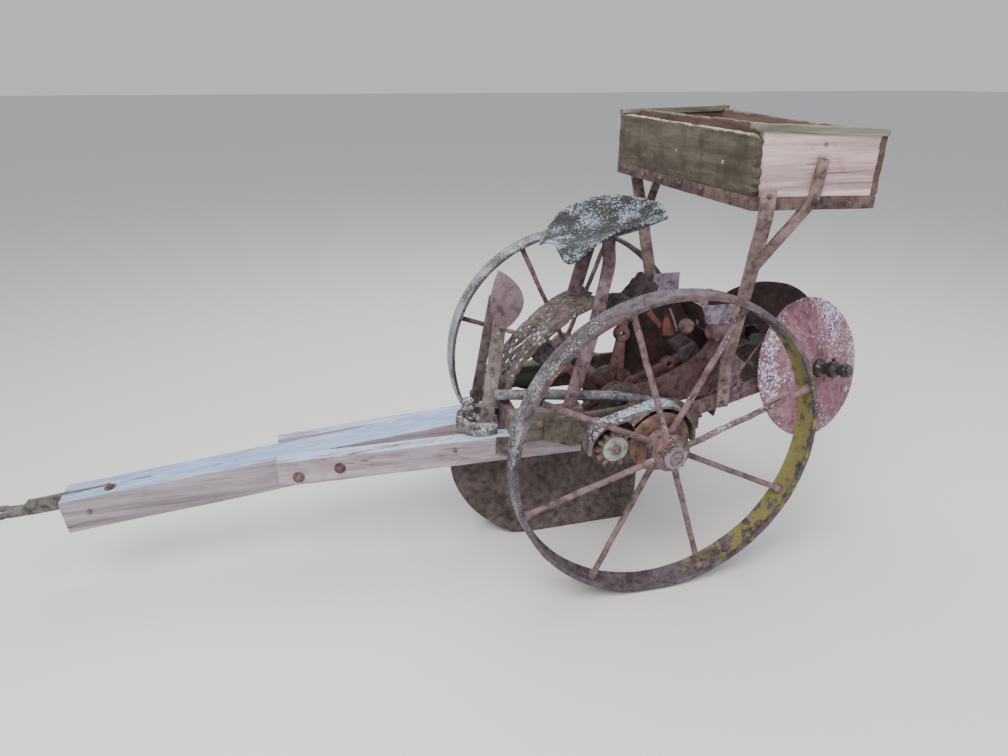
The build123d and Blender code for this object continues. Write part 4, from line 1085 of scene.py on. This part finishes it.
# ---- seat
seatSize = {
    "forward": 20, "height": 872, "fall": 33, "sag": 12, "rise": 56, "thigh": 124, "curl": 22,
    "lift": 21, "liftAt": 145, "halfX": 164, "halfY": 183, "sheet": 5, "rounding": 1.5,
}
seatOutline = [
    (0, 158), (3, 164), (10, 173), (20, 182), (32, 198), (40, 204), (50, 203), (62, 197), (78, 189), (92, 184),
    (110, 173), (125, 160), (140, 149), (155, 143), (165, 142), (180, 144),
]
pan = bmesh.new()
bmesh.ops.create_grid(pan, x_segments=72, y_segments=72, size=1)
for vert in pan.verts:
    across, along = vert.co.y, vert.co.x
    reach = max(abs(across), abs(along))
    angle = math.atan2(across, along)
    out = easedTable(seatOutline, abs(math.degrees(angle)))
    x, y = out * reach * math.cos(angle), out * reach * math.sin(angle)
    u, v = x / seatSize["halfX"], y / seatSize["halfY"]
    centre = seatSize["height"] - seatSize["fall"] * u + seatSize["sag"] * u * u + seatSize["curl"] * min(u, 0) ** 2
    rise = seatSize["rise"] - seatSize["thigh"] * max(u, 0) ** 4
    roll = 3.0 * max(0, reach - 0.93) / 0.07
    wrapped = (math.degrees(angle) + seatSize["liftAt"] + 180) % 360 - 180
    centre += seatSize["lift"] * max(0, math.cos(math.radians(1.3 * wrapped))) * reach**2
    vert.co = spot(seatSize["forward"] + x, y, centre + rise * v * v + 2.0 - roll)
for step in range(2):
    smoothed(pan, pan.verts)
wear(pan, 38, 1.4, 4)
bmesh.ops.recalc_face_normals(pan, faces=pan.faces)
if sum(face.normal.z for face in pan.faces) < 0:
    bmesh.ops.reverse_faces(pan, faces=pan.faces)


def seatRule(place, normal):
    x, y = place.x - seatSize["forward"], place.y
    out = easedTable(seatOutline, abs(math.degrees(math.atan2(y, x))))
    rim = math.hypot(x, y) / out
    bare = 50 < y < 150 and -20 < x < 130 and rim < 0.9
    white = x > 100 and abs(y) < 50
    return 0, 0.03 if x < 60 else -0.05, 0.06 * (rim > 0.93) - 0.2 * bare + 0.06 * white


seatPan = finishPiece(pan, "seat_shell", "seatIron", "seat_iron", "seat_pan", smooth=60, rule=seatRule)
thickness = seatPan.modifiers.new("thickness", "SOLIDIFY")
thickness.thickness = seatSize["sheet"] / 1000
thickness.offset = 0
rounding = seatPan.modifiers.new("rounding", "BEVEL")
rounding.width = seatSize["rounding"] / 1000
rounding.segments = 2
seatBars = {
    "far": [(70, -16, 861), (91, -16, 793), (108, -16, 730), (115, -16, 702)],
    "near": [
        (47, 50, 870), (49, 56, 850), (50, 64, 798), (71, 80, 726), (107, 106, 614), (167, 150, 492), (184, 165, 452),
        (190, 169, 436),
    ],
}
bars = bentFlat(seatBars["far"], 40, 10, (1, 0, 0), rough=1, size=40, seed=2)
addTo(bars, bentFlat(seatBars["near"], 36, 10, (1, 0, 0), rough=1.4, size=40, seed=6))
addBolt(bars, spot(186, 171, 452), (0, 1, 0.3), 8, 5)
finishPiece(bars, "seat_flats", "frameIron", "seat_iron", "seat_bars")
print("seat done")

# ---- bolts, rivets and nails, each set on the face that it holds
left, right, front = (0, 1, 0), (0, -1, 0), (1, 0, 0)
boltTable = {
    # group: finish and rows of direction, radius, height, sides (none for a domed rivet), washer and places
    "timber": ("boltIron", [
        ((0.12, 1, 0), 10, 5, 6, 15, [(892, 93.5, 306), (787, 106, 324)]),
        ((0.12, 1, 0), 6, 4, 6, 0, [(490, 142, 353)]),
        ((0.12, -1, 0), 10, 5, 4, 15, [(892, -93.5, 306), (787, -106, 324)]),
        ((0.09, 0, 1), 9, 5, 6, 14, [(1352, 14, 303)]),
        (left, 7, 4, 6, 0, [(1400, 47, 262)]),
        ((0.12, 1, 0), 7, 4, 6, 0, [(345, 163, 360)]),
        ((0.12, -1, 0), 7, 4, 6, 0, [(345, -163, 360)]),
    ]),
    "frame": ("boltIron", [
        (left, 9, 6, 6, 0, [(274, 196, 428)]),
        (left, 8, 5, 6, 13, [(170, 196, 436)]),
        (right, 10, 6, 4, 17, [(238, -196, 432)]),
        (right, 8, 5, 6, 13, [(170, -196, 436)]),
        (left, 8, 5, 6, 0, [(-150, 196, 352)]),
        (right, 8, 5, 6, 0, [(-150, -196, 352)]),
        (left, 7, 5, 6, 0, [(-212, 162, 374), (-276, 171.5, 446), (-273, 171.5, 412)]),
        (right, 7, 5, 6, 0, [(-212, -162, 374), (-246, -171.5, 446), (-243, -171.5, 412)]),
    ]),
    "shoe": ("shoeIron", [
        ((0.36, 1, 0), 7, 3, 0, 0, [(396, 40, 256)]),
        (left, 7, 3, 0, 0, [(250, 63, 300), (20, 63, 300)]),
        (right, 7, 3, 0, 0, [(250, -63, 300), (20, -63, 300)]),
    ]),
    "rail": ("boltIron", [
        (front, 6, 4, 6, 0, [
            (-146, -296, 1000), (-146, -174, 997), (-146, -64, 1000), (-146, 46, 1002), (-146, 154, 1002),
        ]),
        (left, 8, 7, 6, 0, [(-306, 373, 996), (-401, 364, 990)]),
        (left, 4, 3, 6, 0, [(-214, 364, 997)]),
        (right, 8, 7, 6, 0, [(-311, -372, 997), (-400, -364, 998)]),
        (left, 7, 4, 6, 0, [(-186, 373, 1014)]),
        (right, 7, 4, 6, 0, [(-186, -373, 1014)]),
    ]),
}
for group, (finish, rows) in boltTable.items():
    bolts = bmesh.new()
    for direction, radius, height, sides, washer, places in rows:
        for where in places:
            addBolt(bolts, spot(*where), direction, radius, height, sides, washer, roll=where[0])
    finishPiece(bolts, group + "_bolts", finish, "frame_iron")
studs = bmesh.new()
for x, y, z in ((-151.5, -242, 1086), (-148.5, 6, 1080), (-145.5, 237, 1074)):
    addTo(studs, turned([(0, -1), (5, -1), (4.6, 1.2), (2.5, 2.2), (0, 2.4)], 16), aimed(spot(x, y, z), front))
finishPiece(studs, "board_studs", "washerIron", "frame_iron")
print("bolts done")

# ---- small castings behind the near wheel, on the bowl's and throat's cheeks
mechanism = bmesh.new()
knobProfile = [(0, -17), (11, -17), (11, -7), (19, -2), (23, 6), (21, 14), (15, 20), (0, 21)]
addTo(mechanism, cast(knobProfile, 26, 10, 1, 2, aimed(spot(-196, 62, 609), (0.2, 1, 0.3))))
barrelProfile = [(0, -38), (17, -38), (19, -35), (19, 20), (22, 22), (22, 32), (19, 36), (8, 37), (0, 35)]
addTo(mechanism, cast(barrelProfile, 30, 12, 1, 5, aimed(spot(-291, 84, 594), (1, 0.25, 0.05))))
finishPiece(mechanism, "throat_castings", "bowlIron", "sheet_iron")
sheetTable = [
    # name, finish, y, thickness, corners in x and z
    ("hoop_tail", "pickerIron", -77.8, 3.4, [
        (-38, 668), (-60, 684), (-66, 692), (-79, 704), (-86, 718), (-96, 722), (-104, 735), (-117, 738), (-131, 726),
        (-148, 712), (-160, 704), (-173, 690), (-170, 668), (-140, 652), (-112, 660), (-80, 650), (-56, 655),
    ]),
    ("shroud_cusp", "shroudIron", 326, 7, [
        (76, 459), (60, 474), (46, 485), (34, 490), (40, 500), (70, 500), (100, 492), (104, 486), (92, 477),
        (84, 468),
    ]),
    ("bowl_horn", "orangeIron", 80, 5, [
        (-116, 596), (-153, 593), (-140, 624), (-128, 652), (-119, 654), (-114, 630),
    ]),
    ("bowl_strap", "orangeIron", 80, 4, [(-62, 664), (-76, 672), (-112, 628), (-102, 618)]),
    ("throat_wing", "lilacIron", 70, 4, [(-239, 670), (-309, 664), (-300, 630), (-284, 592), (-250, 622)]),
    ("post_gusset", "frameIron", 158, 4.6, [
        (-277, 547), (-294, 557), (-386, 589), (-355, 548), (-337, 520), (-323, 491), (-318, 467), (-327, 448),
        (-351, 432), (-333, 400), (-262, 404), (-258, 477),
    ]),
]
for name, finish, y, thick, corners in sheetTable:
    finishPiece(cutSheet(corners, y, thick, len(name)), name, finish, "sheet_iron")
link = rodThrough([(-130, 84, 672), (-140, 85, 650), (-150, 85, 628), (-158, 84, 606)], 3.2)
wear(link, 20, 0.6, 4)
finishPiece(link, "bowl_link", "headIron", "sheet_iron")
print("mechanism details done")

# ---- floor and lights
floorMesh = bmesh.new()
bmesh.ops.create_grid(floorMesh, x_segments=1, y_segments=1, size=60)
floorData = bpy.data.meshes.new("floor")
floorMesh.to_mesh(floorData)
floorMesh.free()
floorPiece = bpy.data.objects.new("floor", floorData)
bpy.context.scene.collection.objects.link(floorPiece)
floorMaterial, floorShader = startMaterial("floorPlain", 0.9)
floorShader.inputs["Base Color"].default_value = tone("d9d7d3")
floorData.materials.append(floorMaterial)
world = bpy.data.worlds.new("studio")
world.use_nodes = True
world.node_tree.nodes["Background"].inputs[0].default_value = (0.86, 0.89, 0.95, 1)
world.node_tree.nodes["Background"].inputs[1].default_value = 0.7
bpy.context.scene.world = world
lightTable = [
    # name, place, goal, size, power, colour
    ("key", (1700, 1900, 3300), (0, 0, 500), 2.2, 170, (1, 0.97, 0.93)),
    ("fill", (-2600, 2200, 1800), (0, 0, 400), 3, 45, (0.92, 0.95, 1)),
    ("over", (-300, -900, 3400), (0, 0, 500), 3, 100, (0.95, 0.97, 1)),
]
for name, place, goal, size, power, colour in lightTable:
    lightData = bpy.data.lights.new(name, "AREA")
    lightData.size = size
    lightData.energy = power
    lightData.color = colour
    light = bpy.data.objects.new(name, lightData)
    bpy.context.scene.collection.objects.link(light)
    light.location = spot(*place)
    light.rotation_euler = (spot(*goal) - spot(*place)).to_track_quat("-Z", "Y").to_euler()
print("stage and lights done")
